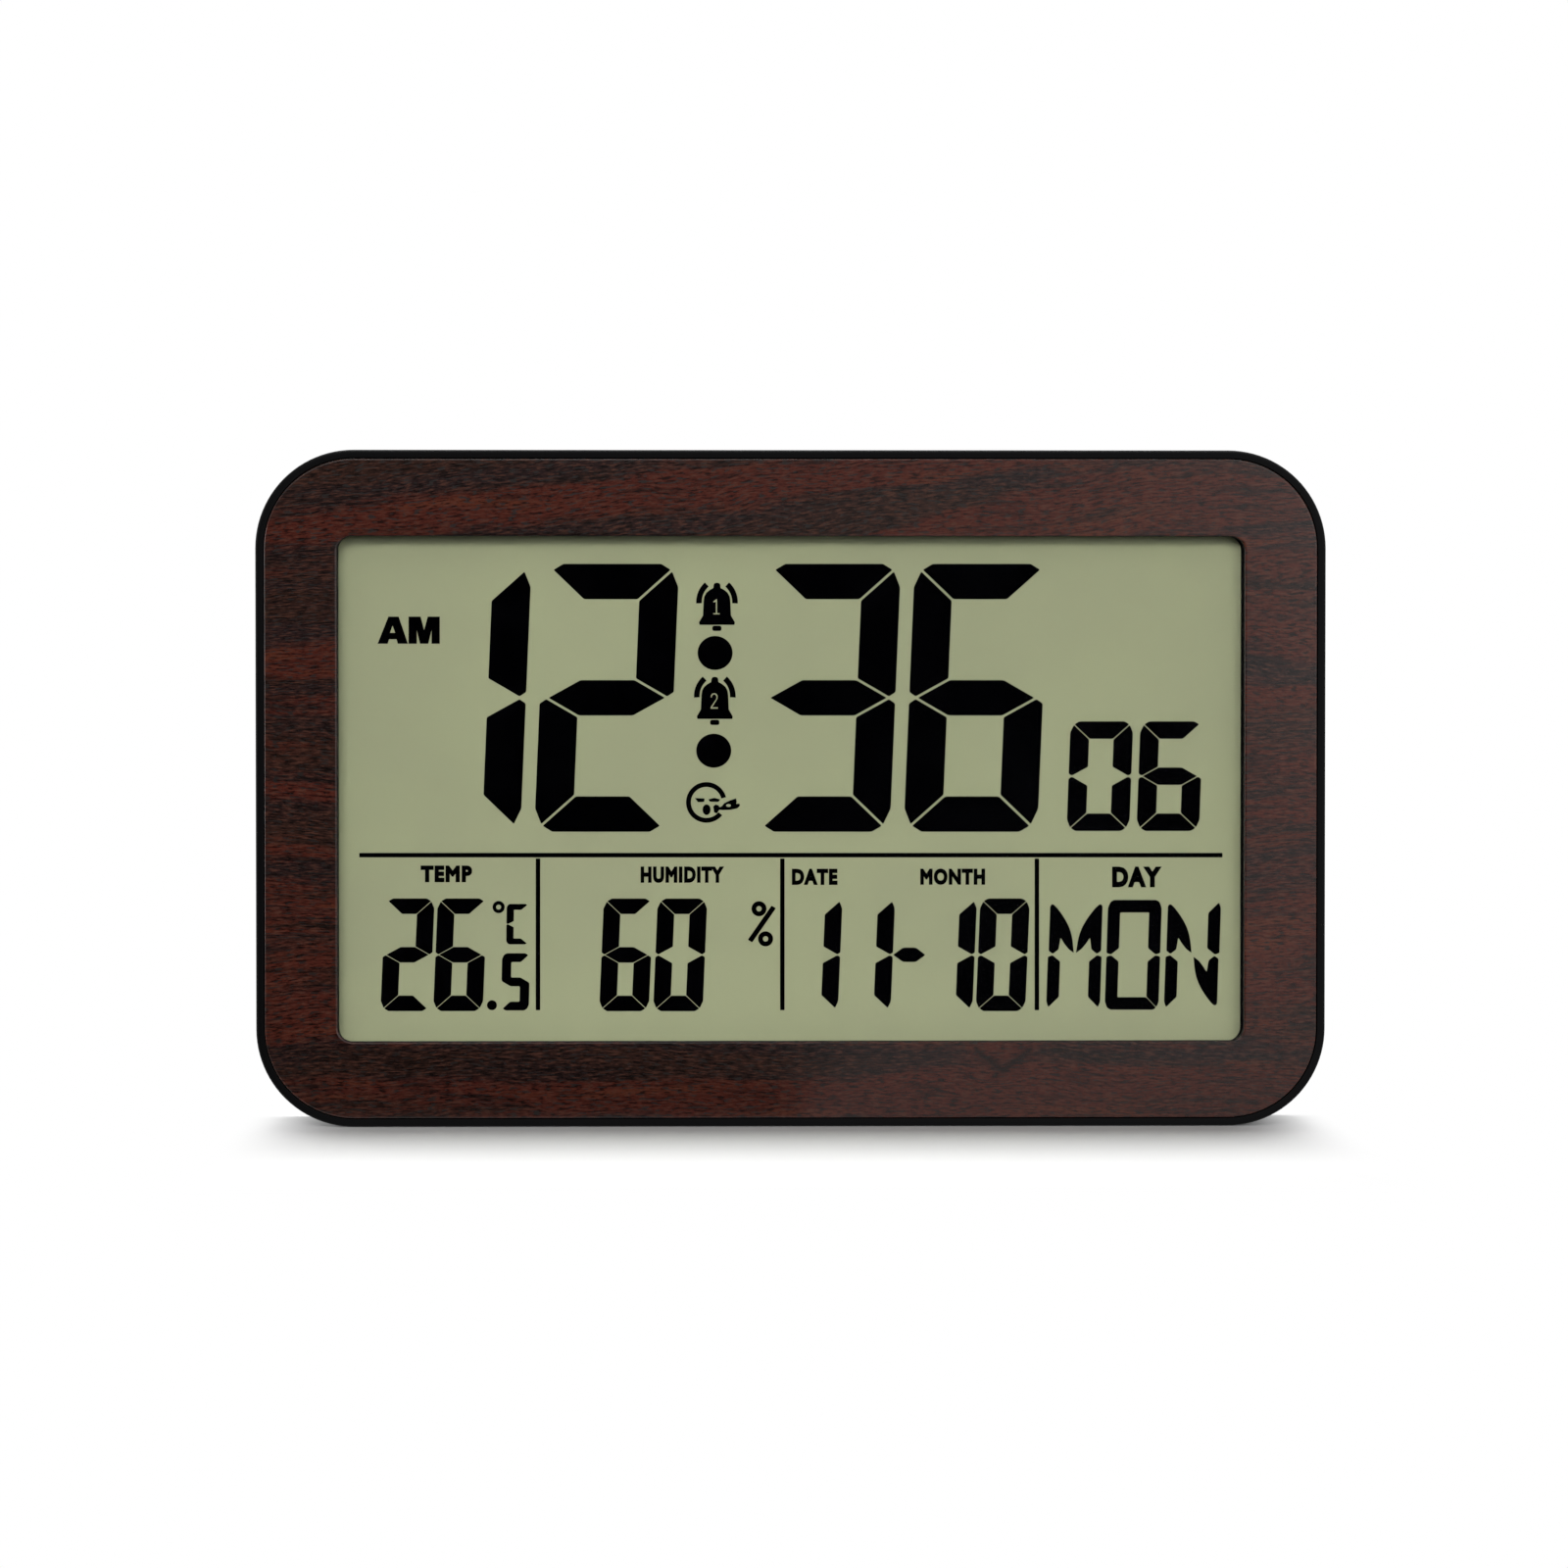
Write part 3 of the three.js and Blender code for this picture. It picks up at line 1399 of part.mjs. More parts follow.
/** The cells, their contacts and the door over them. */
function batteryGroup() {
  const group = new THREE.Group();
  const upper = cellPitch / 2;
  const half = contactWidth / 2;
  const cellStart = cellTip - cellNubLength - cellLength;
  const one = place(group, "upper_cell", cell(), looks.cell, cellStart, yAt(cellDepth), bayMiddle + upper);
  one.rotation.z = -Math.PI / 2;
  const two = place(group, "lower_cell", cell(), looks.cell, -cellStart, yAt(cellDepth), bayMiddle - upper);
  two.rotation.z = Math.PI / 2;
  const bridgePlate = contactPlate(-upper - half, upper + half);
  const bridge = join(bridgePlate, contactSpring(upper), contactDimple(-upper));
  place(group, "bridge_contact", bridge, looks.steel);
  const flat = join(contactPlate(upper - half, upper + half), contactSpring(upper), contactTab(upper));
  const turnedRound = place(group, "negative_contact", flat, looks.steel, 0, 0, 2 * bayMiddle);
  turnedRound.rotation.y = Math.PI;
  const raised = join(contactPlate(-upper - half, -upper + half), contactDimple(-upper), contactTab(-upper));
  const facing = place(group, "positive_contact", raised, looks.steel, 0, 0, 2 * bayMiddle);
  facing.rotation.y = Math.PI;
  place(group, "battery_door", batteryDoor(), looks.cover);
  return group;
}

/** The setting buttons, their switches and the board that carries them. */
function keyGroup() {
  const group = new THREE.Group();
  place(group, "key_board", keyBoard(), looks.board);
  const keyScrew = screw(smallHeadRadius, smallHeadHeight, smallShankRadius, smallScrewLength);
  const keyScrewY = yAt(keyBoardDepth - filmGap);
  keyPostHeights.forEach((z, i) => {
    const mesh = place(group, `key_board_screw_${i + 1}`, keyScrew, looks.steel, buttonX, keyScrewY, z);
    mesh.rotation.x = Math.PI;
  });
  buttonNames.forEach((name, i) => {
    const z = buttonHeights[i];
    place(group, `${name}_button`, button(), looks.cover, buttonX, 0, z);
    place(group, `${name}_plunger`, plunger(), looks.black, buttonX, 0, z);
    place(group, `${name}_switch`, switchBody(), looks.steel, buttonX, 0, z);
  });
  return group;
}

/** The sensor behind the vents and the sounder disc. */
function sensorGroup() {
  const group = new THREE.Group();
  place(group, "sensor_board", sensorBoard(), looks.board);
  place(group, "humidity_sensor", humiditySensor(), looks.holder);
  const sensorScrew = screw(smallHeadRadius, smallHeadHeight, smallShankRadius, smallScrewLength);
  [-1, 1].forEach((side, i) => {
    const x = ventX + side * sensorPostReach;
    const y = yAt(sensorBoardFront - filmGap);
    const mesh = place(group, `sensor_board_screw_${i + 1}`, sensorScrew, looks.steel, x, y, ventHeight);
    mesh.rotation.x = Math.PI;
  });
  const discFront = sounderBack - sounderThickness;
  const disc = rod(sounderRadius, ventX, sounderHeight, discFront, sounderBack, rodSides);
  place(group, "sounder_disc", disc, looks.brass);
  return group;
}

/** The leads and the ribbon between the boards, contacts, sensor and sounder. */
function wiringGroup() {
  const group = new THREE.Group();
  const board = boardBack + seatGap;
  const tabX = contactFace + contactThickness / 2 + contactTabReach - leadRadius;
  const tabFront = contactTabDepth - contactThickness / 2 - seatGap;
  const upper = bayMiddle + cellPitch / 2;
  const lower = bayMiddle - cellPitch / 2;
  const padZ = boardTop - padInset;
  const padX = boardWidth / 2 - padInset;
  const redRoute = [
    [tabX, tabFront, upper],
    [tabX, tabFront - leadStraight, upper],
    [tabX + leadSpread - leadDip, tabFront - leadDip, bayMiddle],
    [tabX + leadSpread, tabFront, padZ + leadRun],
    [tabX + leadSpread, board + leadStraight, padZ],
    [tabX + leadSpread, board, padZ],
  ];
  const blackRoute = [
    [tabX, tabFront, lower],
    [tabX, tabFront - leadStraight, lower],
    [tabX, tabFront - leadDip, padZ + leadRun],
    [tabX, board + leadStraight, padZ],
    [tabX, board, padZ],
  ];
  const sensorX = ventX - sensorLeadX;
  const sensorZ = ventHeight - sensorLeadZ;
  const sensorRoute = [
    [sensorX, sensorBoardFront - seatGap, sensorZ],
    [sensorX, sensorBoardFront - seatGap - leadStraight, sensorZ],
    [(sensorX + padX) / 2, boardBack + sensorLeadLift, (ventHeight + boardTop) / 2],
    [padX, board + leadStraight, boardTop - padRow],
    [padX, board, boardTop - padRow],
  ];
  const disc = sounderBack - sounderThickness - seatGap;
  const sounderX = ventX - sounderLeadX;
  const sounderZ = sounderHeight - sounderLeadZ;
  const sounderPadZ = sounderHeight - sounderPadDrop;
  const sounderRoute = [
    [sounderX, disc, sounderZ],
    [sounderX, disc - leadStraight, sounderZ],
    [(sounderX + padX) / 2, boardBack + sounderLeadLift, (sounderZ + sounderPadZ) / 2],
    [padX, board + leadStraight, sounderPadZ],
    [padX, board, sounderPadZ],
  ];
  place(group, "battery_lead_red", tube(leadSection(), redRoute), looks.red);
  place(group, "battery_lead_black", tube(leadSection(), blackRoute), looks.black);
  place(group, "sensor_lead", tube(leadSection(), sensorRoute), looks.grey);
  place(group, "sounder_lead", tube(leadSection(), sounderRoute), looks.grey);
  const start = ribbonInset - boardWidth / 2;
  const end = buttonX + ribbonEndX;
  const keys = keyBoardDepth - seatGap;
  const ribbonZ = boardTop - ribbonWidth;
  const ribbonRoute = [
    [start, board, ribbonZ],
    [start, board + leadStraight, ribbonZ],
    [start - ribbonReach, board + leadStraight + ribbonRise, ribbonZ],
    [end + ribbonReach, (board + keys + ribbonRise) / 2, ribbonZ],
    [end, keys - leadStraight, ribbonZ],
    [end, keys, ribbonZ],
  ];
  const ribbon = roundedOutline(ribbonWidth, ribbonThickness, ribbonThickness / 4, 0, 0, 1);
  place(group, "ribbon_cable", tube(ribbon, ribbonRoute), looks.grey);
  return group;
}

console.log(`Least gap between the turns of the cell springs: ${springGap().toFixed(2)} mm`);

const clock = new THREE.Group();
clock.add(caseGroup(), displayGroup(), mainBoardGroup(), batteryGroup());
clock.add(keyGroup(), sensorGroup(), wiringGroup());
place(clock, "stand_leg", standLeg(), looks.cover);

export default clock;
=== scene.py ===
"""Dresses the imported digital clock: a wood-effect front, a black case and a display in dark segments.

Lengths are millimetres, as in the part's source, and a piece's mesh becomes metres when the piece
is finished. Depth runs from the face of the front panel to the back of the clock.
"""

import json
import logging
import math
from dataclasses import dataclass, field, replace
from enum import Enum
from functools import cached_property, reduce
from typing import Any, Iterable, Sequence

import bmesh
import bpy
from mathutils import Matrix, Vector


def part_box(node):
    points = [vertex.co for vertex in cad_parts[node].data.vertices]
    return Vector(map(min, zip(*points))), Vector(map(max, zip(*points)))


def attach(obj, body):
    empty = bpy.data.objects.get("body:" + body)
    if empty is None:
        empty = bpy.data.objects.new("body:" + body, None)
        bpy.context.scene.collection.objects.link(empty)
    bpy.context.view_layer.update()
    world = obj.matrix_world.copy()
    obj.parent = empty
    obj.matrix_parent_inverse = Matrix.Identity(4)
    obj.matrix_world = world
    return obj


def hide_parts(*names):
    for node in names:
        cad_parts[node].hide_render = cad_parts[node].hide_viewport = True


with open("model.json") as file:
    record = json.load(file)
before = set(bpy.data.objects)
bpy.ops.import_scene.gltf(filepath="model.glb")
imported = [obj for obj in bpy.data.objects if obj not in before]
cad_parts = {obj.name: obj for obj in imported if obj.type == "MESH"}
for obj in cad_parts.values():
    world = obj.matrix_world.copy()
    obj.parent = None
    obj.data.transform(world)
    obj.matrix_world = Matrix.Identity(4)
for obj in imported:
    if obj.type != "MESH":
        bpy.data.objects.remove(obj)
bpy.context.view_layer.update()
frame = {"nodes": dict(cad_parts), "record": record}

log = logging.getLogger("clock")

MM = 0.001
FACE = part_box("front_panel")[0].y / MM
MERGE = 1e-4
ROUNDED_FROM = math.radians(34)
CREASED_FROM = math.radians(60)
LETTER_GAP = 2.6
Point = tuple[float, float]
Colour = tuple[float, float, float, float]


class Slot(Enum):
    """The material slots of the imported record."""

    WOOD = "wood_effect_panel"
    CASE = "black_case"
    COVER = "black_cover"
    LENS = "clear_acrylic"
    GLASS = "display_glass"
    FILM = "display_film"
    WHITE = "white_plastic"
    RUBBER = "contact_rubber"
    BOARD = "circuit_board"
    SCREW = "screw_steel"
    CONTACT = "contact_steel"
    BRASS = "sounder_brass"
    RESIN = "black_resin"
    JACKET = "cell_jacket"
    RED = "red_wire"
    BLACK = "black_wire"
    GREY = "grey_wire"


class Axis(Enum):
    """The directions that a turned form can spin about."""

    ACROSS = Vector((1, 0, 0))
    DEPTH = Vector((0, 1, 0))


def shade(red: int, green: int, blue: int) -> Colour:
    """A colour as a screen shows it, 0 to 255, made linear for the shader.

    Args:
        red: The red share.
        green: The green share.
        blue: The blue share.

    Returns:
        The linear colour with a full alpha.
    """

    def linear(value: int) -> float:
        """One channel made linear."""
        part = value / 255
        return part / 12.92 if part <= 0.04045 else ((part + 0.055) / 1.055) ** 2.4

    return (linear(red), linear(green), linear(blue), 1.0)


class Signal:
    """A shader socket that Python's arithmetic works on."""

    def __init__(self, recipe: "Recipe", socket: bpy.types.NodeSocket) -> None:
        """Wraps one output socket of a recipe."""
        self.recipe = recipe
        self.socket = socket

    def _math(self, operation: str, first: Any, second: Any) -> "Signal":
        """Adds a Math node on two terms."""
        return self.recipe.signal("ShaderNodeMath", {"operation": operation}, {0: first, 1: second})

    def __add__(self, other: Any) -> "Signal":
        """The sum with another signal or number."""
        return self._math("ADD", self, other)

    __radd__ = __add__

    def __sub__(self, other: Any) -> "Signal":
        """This signal less another."""
        return self._math("SUBTRACT", self, other)

    def __rsub__(self, other: Any) -> "Signal":
        """A number less this signal."""
        return self._math("SUBTRACT", other, self)

    def __mul__(self, other: Any) -> "Signal":
        """The product with another signal or number."""
        return self._math("MULTIPLY", self, other)

    __rmul__ = __mul__

    def __truediv__(self, other: Any) -> "Signal":
        """This signal over another."""
        return self._math("DIVIDE", self, other)

    def __rtruediv__(self, other: Any) -> "Signal":
        """A number over this signal."""
        return self._math("DIVIDE", other, self)

    def most(self, other: Any) -> "Signal":
        """The greater of this signal and another."""
        return self._math("MAXIMUM", self, other)

    def step(self, low: float, high: float) -> "Signal":
        """A smooth step from 0 at low to 1 at high."""
        settings = {"interpolation_type": "SMOOTHSTEP"}
        return self.recipe.signal("ShaderNodeMapRange", settings, {0: self, 1: low, 2: high, 3: 0.0, 4: 1.0})


class Recipe:
    """One material in the making, or the world, with the few ways that every finish uses."""

    def __init__(self, name: str, owner: bpy.types.ID | None = None) -> None:
        """Starts an empty material of that name, or empties the owner's nodes."""
        self.owner = owner or bpy.data.materials.new(name)
        self.owner.use_nodes = True
        self.tree = self.owner.node_tree
        self.tree.nodes.clear()
        output = "Generated" if owner else "Object"
        self.place = Signal(self, self.node("ShaderNodeTexCoord").outputs[output])

    def node(
        self,
        kind: str,
        settings: dict[str, Any] | None = None,
        sockets: dict[str | int, Any] | None = None,
    ) -> bpy.types.Node:
        """Adds a node, with its settings first and its sockets after.

        Args:
            kind: The node's type.
            settings: The node's own properties by name.
            sockets: The values or signals of its inputs, by name or place.

        Returns:
            The new node.
        """
        made = self.tree.nodes.new(kind)
        for name, value in (settings or {}).items():
            setattr(made, name, value)
        for name, value in (sockets or {}).items():
            if isinstance(value, Signal):
                self.tree.links.new(value.socket, made.inputs[name])
            elif isinstance(value, bpy.types.NodeSocket):
                self.tree.links.new(value, made.inputs[name])
            else:
                made.inputs[name].default_value = value
        return made

    def signal(self, kind: str, settings: dict[str, Any], sockets: dict[str | int, Any]) -> Signal:
        """A new node's first output as a signal."""
        return Signal(self, self.node(kind, settings, sockets).outputs[0])

    def axes(self) -> tuple[Signal, Signal, Signal]:
        """The place's x, y and z as three signals."""
        parts = self.node("ShaderNodeSeparateXYZ", None, {0: self.place})
        return tuple(Signal(self, parts.outputs[i]) for i in range(3))

    def point(self, x: Any, y: Any, z: Any) -> Signal:
        """A vector of three signals or numbers."""
        return self.signal("ShaderNodeCombineXYZ", {}, {0: x, 1: y, 2: z})

    def mapped(self, scale: Sequence[float]) -> Signal:
        """The place, scaled for a pattern."""
        return self.signal("ShaderNodeMapping", {}, {"Vector": self.place, "Scale": scale})

    def noise(self, at: Signal, scale: float = 1.0, detail: float = 2.0, rough: float = 0.5) -> Signal:
        """Fractal noise at a vector, about 0.5 on average."""
        sockets = {"Vector": at, "Scale": scale, "Detail": detail, "Roughness": rough}
        return self.signal("ShaderNodeTexNoise", {}, sockets)

    def sawtooth(self, at: Signal, pitch: float) -> Signal:
        """A wave that runs from 0 to 1 and back over twice the pitch."""
        return self.signal("ShaderNodeMath", {"operation": "PINGPONG"}, {0: at, 1: pitch}) / pitch

    def cells(self, at: Signal, scale: float, feature: str = "F1") -> Signal:
        """The distance in a cell pattern at a vector."""
        return self.signal("ShaderNodeTexVoronoi", {"feature": feature}, {"Vector": at, "Scale": scale})

    def mix(self, share: Any, first: Any, second: Any) -> Signal:
        """Two colours mixed by a share."""
        made = self.node("ShaderNodeMix", {"data_type": "RGBA"}, {0: share, 6: first, 7: second})
        return Signal(self, made.outputs[2])

    def bump(self, height: Signal, reach: float, strength: float) -> Signal:
        """A normal from a height, whose full range stands for reach millimetres."""
        sockets = {"Height": height, "Distance": reach * MM, "Strength": strength}
        return self.signal("ShaderNodeBump", {}, sockets)

    def rays(self, *kinds: str) -> Signal:
        """A signal that is 1 on any of the kinds of ray."""
        path = self.node("ShaderNodeLightPath")
        signals = [Signal(self, path.outputs[f"Is {kind} Ray"]) for kind in kinds]
        return reduce(Signal.most, signals)

    def surface(self, **sockets: Any) -> bpy.types.Node:
        """A Principled shader with its sockets by name, where _ stands for a space."""
        named = {name.replace("_", " "): value for name, value in sockets.items()}
        return self.node("ShaderNodeBsdfPrincipled", None, named)

    def done(self, shader: bpy.types.Node) -> bpy.types.ID:
        """Joins the shader to the output, and returns the material or the world."""
        kind = "World" if isinstance(self.owner, bpy.types.World) else "Material"
        self.node(f"ShaderNodeOutput{kind}", None, {"Surface": shader.outputs[0]})
        return self.owner


@dataclass(frozen=True)
class Grain:
    """One layer of noise in the print, finer up the panel than across it."""

    across: float
    up: float
    seed: float
    detail: float = 2.0
    rough: float = 0.5

    def over(self, r: Recipe, x: Signal, height: Signal) -> Signal:
        """The layer at a place of the panel."""
        at = r.point(x * self.across, self.seed, height * self.up)
        return r.noise(at, detail=self.detail, rough=self.rough)


@dataclass(frozen=True)
class Figure:
    """A soft oval patch of the print, redder or darker than the rest, in metres."""

    across: float
    up: float
    slope: float
    length: float
    width: float
    amount: float

    def over(self, x: Signal, z: Signal) -> Signal:
        """How much redder the patch makes a place, below 0 where it is darker.

        Args:
            x: The place across the panel.
            z: The place up the panel.

        Returns:
            The amount, which fades round the patch.
        """
        aside = x - self.across
        along = aside / self.length
        off = (z - self.up - aside * self.slope) / self.width
        near = along * along + off * off
        return self.amount / (1 + near * near)


@dataclass(frozen=True)
class WoodPrint:
    """The printed rosewood of the front panel: bands, fibres and pores that run across it, and painted light that
    lightens its right border.
    """

    brown: Colour = shade(47, 28, 22)
    plum: Colour = shade(38, 25, 25)
    red: Colour = shade(80, 32, 22)
    amber: Colour = shade(94, 47, 29)
    shadow: Colour = shade(14, 7, 5)
    pale: Colour = shade(84, 52, 41)
    edge: Colour = shade(12, 10, 10)
    roughness: float = 0.2
    gloss: float = 0.25
    slant: float = 0.1
    slant_from: float = 0.084
    slant_to: float = 0.122
    slant_end: float = 0.088
    drift: Grain = Grain(12, 20, 0.0)
    drift_reach: float = 0.012
    ripple: Grain = Grain(60, 100, 3.0)
    ripple_reach: float = 0.0016
    bands: Grain = Grain(9, 120, 1.0, 3)
    patches: Grain = Grain(24, 260, 11.0)
    tones: Grain = Grain(14, 210, 5.0)
    streaks: Grain = Grain(60, 800, 9.0, 3, 0.6)
    fibres: Grain = Grain(380, 2400, 2.0, 3, 0.6)
    specks: Grain = Grain(900, 3600, 4.0, 1)
    pores: Grain = Grain(420, 2300, 7.0, 1)
    figures_and_painted_light: tuple[tuple[float, ...], ...] = (
        (-0.065, 0.1234, 0.098, 0.055, 0.0030, 0.24), (-0.077, 0.1301, 0.09, 0.045, 0.0034, -0.24),
        (0.008, 0.1323, 0.1, 0.030, 0.0020, 0.16), (0.008, 0.1242, 0.12, 0.030, 0.0030, -0.12),
        (0.031, 0.1280, 0.25, 0.024, 0.0024, -0.3), (0.046, 0.1252, 0.2, 0.026, 0.0026, 0.24),
        (-0.098, 0.1062, 0.0, 0.014, 0.0060, -0.12), (-0.098, 0.0931, 0.0, 0.010, 0.0026, 0.14),
        (-0.098, 0.0226, 0.03, 0.012, 0.0036, 0.2), (-0.049, 0.0130, 0.0, 0.070, 0.0034, -0.16),
        (-0.053, 0.0073, 0.0, 0.040, 0.0022, 0.18), (0.024, 0.0073, 0.0, 0.030, 0.0026, 0.12),
        (0.0427, 0.0158, 0.0, 0.0042, 0.0016, 0.5), (0.046, 0.0120, 0.0, 0.026, 0.0030, 0.1),
        # The first patch on the next line, broad over the right border, is painted light: it lightens that side as
        # the light from the right does.
        (0.100, 0.0560, 0.0, 0.012, 0.0420, 0.07), (0.078, 0.0140, 0.0, 0.028, 0.0020, -0.16),
        (0.062, 0.0078, 0.0, 0.030, 0.0022, 0.13),
    )
    notch: Point = (0.0427, 0.0113)
    notch_reach: float = 0.0066
    notch_slope: float = 0.76
    notch_width: float = 0.0008
    window: tuple[float, float, float] = (0.0945, 0.0683, 0.0555)
    cut: Point = (0.00012, 0.0003)

    def make(self, name: str) -> bpy.types.Material:
        """Builds the finish.

        Args:
            name: The material's name.

        Returns:
            The material.
        """
        r = Recipe(name)
        x, y, z = r.axes()
        drift = self.drift.over(r, x, z) - 0.5
        ripple = self.ripple.over(r, x, z) - 0.5
        rise = x - (x - self.slant_end).most(0.0)
        lean = rise * z.step(self.slant_from, self.slant_to) * self.slant
        height = z - lean + drift * self.drift_reach + ripple * self.ripple_reach
        bands = self.bands.over(r, x, height)
        swayed = z + drift * (self.drift_reach / 2)
        # The patches are the print's figures and one patch of painted light on the right border.
        for figure in self.figures_and_painted_light:
            bands = bands + Figure(*figure).over(x, swayed)
        patch, streak = self.patches.over(r, x, height), self.streaks.over(r, x, height)
        fibre, speck = self.fibres.over(r, x, height), self.specks.over(r, x, height)
        pores = self.pores.over(r, x, height).step(0.44, 0.35)
        red = (bands + (streak - 0.5) * 0.5).step(0.42, 0.64)
        warm = (patch + (streak - 0.5) * 0.3).step(0.52, 0.7) * red
        notch = self.notch_line(x, z + ripple * (self.ripple_reach / 2))
        sawn = self.inside_window(x, z) * (y - FACE * MM).step(*self.cut)
        colour = r.mix(self.tones.over(r, x, height).step(0.4, 0.6), self.brown, self.plum)
        for share, tint in (
            (red * 0.9, self.red),
            (warm * 0.6, self.amber),
            ((1 - red) * patch.step(0.52, 0.34) * 0.4, self.shadow),
            (fibre.step(0.5, 0.64) * 0.7, self.pale),
            (speck.step(0.52, 0.72) * 0.3, self.pale),
            (streak.step(0.48, 0.34) * 0.5, self.shadow),
            (fibre.step(0.5, 0.36) * 0.85, self.shadow),
            (speck.step(0.48, 0.3) * 0.45, self.shadow),
            (pores * 0.85, self.shadow),
            (notch * 0.85, self.shadow),
            (sawn, self.edge),
        ):
            colour = r.mix(share, colour, tint)
        return r.done(r.surface(
            Base_Color=colour, Roughness=self.roughness + pores * 0.15 + (fibre - 0.5) * 0.1 + sawn * 0.4,
            Normal=r.bump(pores * -0.8 + fibre * 0.4, 0.02, 0.25), Specular_IOR_Level=self.gloss,
        ))

    def inside_window(self, x: Signal, z: Signal) -> Signal:
        """1 within the window's edges, where the sheet is sawn, and 0 on the print."""
        reach, middle, half = self.window
        upright = z - middle
        inside = (x * x).step(reach * reach, reach * reach * 0.98)
        return inside * (upright * upright).step(half * half, half * half * 0.97)

    def notch_line(self, x: Signal, z: Signal) -> Signal:
        """The dark V of the print's figure below the window.

        Args:
            x: The place across the panel.
            z: The place up the panel.

        Returns:
            How dark the line is, up to 1.
        """
        aside = x - self.notch[0]
        aside = aside.most(0 - aside)
        off = (z - self.notch[1] - aside * self.notch_slope) / self.notch_width
        return (1 / (1 + off * off)) * aside.step(self.notch_reach, self.notch_reach * 0.8)


@dataclass(frozen=True)
class MouldedPlastic:
    """Moulded plastic: a plain colour with a slight sheen change and the mould's fine texture."""

    colour: Colour = shade(23, 23, 24)
    worn: Colour = shade(31, 31, 33)
    roughness: float = 0.45
    texture: float = 0.008
    grain: float = 2600.0
    gloss: float = 0.3

    def make(self, name: str) -> bpy.types.Material:
        """Builds the finish.

        Args:
            name: The material's name.

        Returns:
            The material.
        """
        r = Recipe(name)
        cloud = r.noise(r.place, 55, detail=3)
        speck = r.noise(r.place, self.grain, detail=2, rough=0.6)
        pits = r.cells(r.place, self.grain * 0.6)
        colour = r.mix(cloud.step(0.45, 0.75) * 0.3, self.colour, self.worn)
        colour = r.mix(speck.step(0.55, 0.7) * 0.18, colour, self.worn)
        rough = self.roughness + (cloud - 0.5) * 0.08 + (speck - 0.5) * 0.06
        return r.done(r.surface(
            Base_Color=colour, Roughness=rough, Normal=r.bump(speck + pits * 0.7, self.texture, 0.6),
            Specular_IOR_Level=self.gloss,
        ))


@dataclass(frozen=True)
class ClearSheet:
    """A clear sheet that lets the lamps through to what lies behind it.

    The lens over the display bends less than acrylic, so that it hardly mirrors.
    """

    tint: Colour = (0.985, 0.99, 0.985, 1.0)
    bend: float = 1.06

    def make(self, name: str) -> bpy.types.Material:
        """Builds the finish.

        Args:
            name: The material's name.

        Returns:
            The material.
        """
        r = Recipe(name)
        smear = r.noise(r.place, 38, detail=3, rough=0.55)
        clear = r.surface(
            Base_Color=self.tint, Transmission_Weight=1.0, IOR=self.bend, Roughness=0.0,
            Normal=r.bump(smear, 0.01, 0.1),
        )
        open_way = r.node("ShaderNodeBsdfTransparent", None, {"Color": self.tint})
        sockets = {0: r.rays("Shadow"), 1: clear.outputs[0], 2: open_way.outputs[0]}
        return r.done(r.node("ShaderNodeMixShader", None, sockets))


@dataclass(frozen=True)
class DisplayFilm:
    """The grey-green field of a reflective display, with its fine grain."""

    colour: Colour = shade(163, 167, 133)
    deep: Colour = shade(159, 162, 131)

    def make(self, name: str) -> bpy.types.Material:
        """Builds the finish.

        Args:
            name: The material's name.

        Returns:
            The material.
        """
        r = Recipe(name)
        cloud = r.noise(r.place, 24, detail=3)
        grain = r.noise(r.place, 2200, detail=1)
        colour = r.mix(cloud.step(0.42, 0.62) * 0.6 + (grain - 0.5) * 0.5, self.colour, self.deep)
        return r.done(r.surface(
            Base_Color=colour, Roughness=0.6 + (grain - 0.5) * 0.1, Normal=r.bump(grain, 0.004, 0.3),
            Specular_IOR_Level=0.0,
        ))


@dataclass(frozen=True)
class SegmentInk:
    """The near-black of a display segment that is on."""

    colour: Colour = shade(1, 1, 2)
    lifted: Colour = shade(4, 4, 6)

    def make(self, name: str) -> bpy.types.Material:
        """Builds the finish.

        Args:
            name: The material's name.

        Returns:
            The material.
        """
        r = Recipe(name)
        cloud = r.noise(r.place, 90, detail=2)
        colour = r.mix(cloud.step(0.4, 0.65) * 0.5, self.colour, self.lifted)
        return r.done(r.surface(Base_Color=colour, Roughness=0.7 + (cloud - 0.5) * 0.1, Specular_IOR_Level=0.0))


@dataclass(frozen=True)
class PlatedMetal:
    """Sheet or wire metal with a plated surface, brushed along one axis."""

    colour: Colour = shade(196, 196, 198)
    dull: Colour = shade(150, 150, 152)
    roughness: float = 0.28
    brush: tuple[float, float, float] = (60.0, 900.0, 900.0)

    def make(self, name: str) -> bpy.types.Material:
        """Builds the finish.

        Args:
            name: The material's name.

        Returns:
            The material.
        """
        r = Recipe(name)
        cloud = r.noise(r.place, 140, detail=3)
        brush = r.noise(r.mapped(self.brush), 1, detail=3, rough=0.6)
        colour = r.mix(cloud.step(0.4, 0.7) * 0.6, self.colour, self.dull)
        rough = self.roughness + (brush - 0.5) * 0.2 + (cloud - 0.5) * 0.15
        return r.done(r.surface(
            Base_Color=colour, Metallic=1.0, Roughness=rough, Normal=r.bump(brush, 0.006, 0.4),
        ))


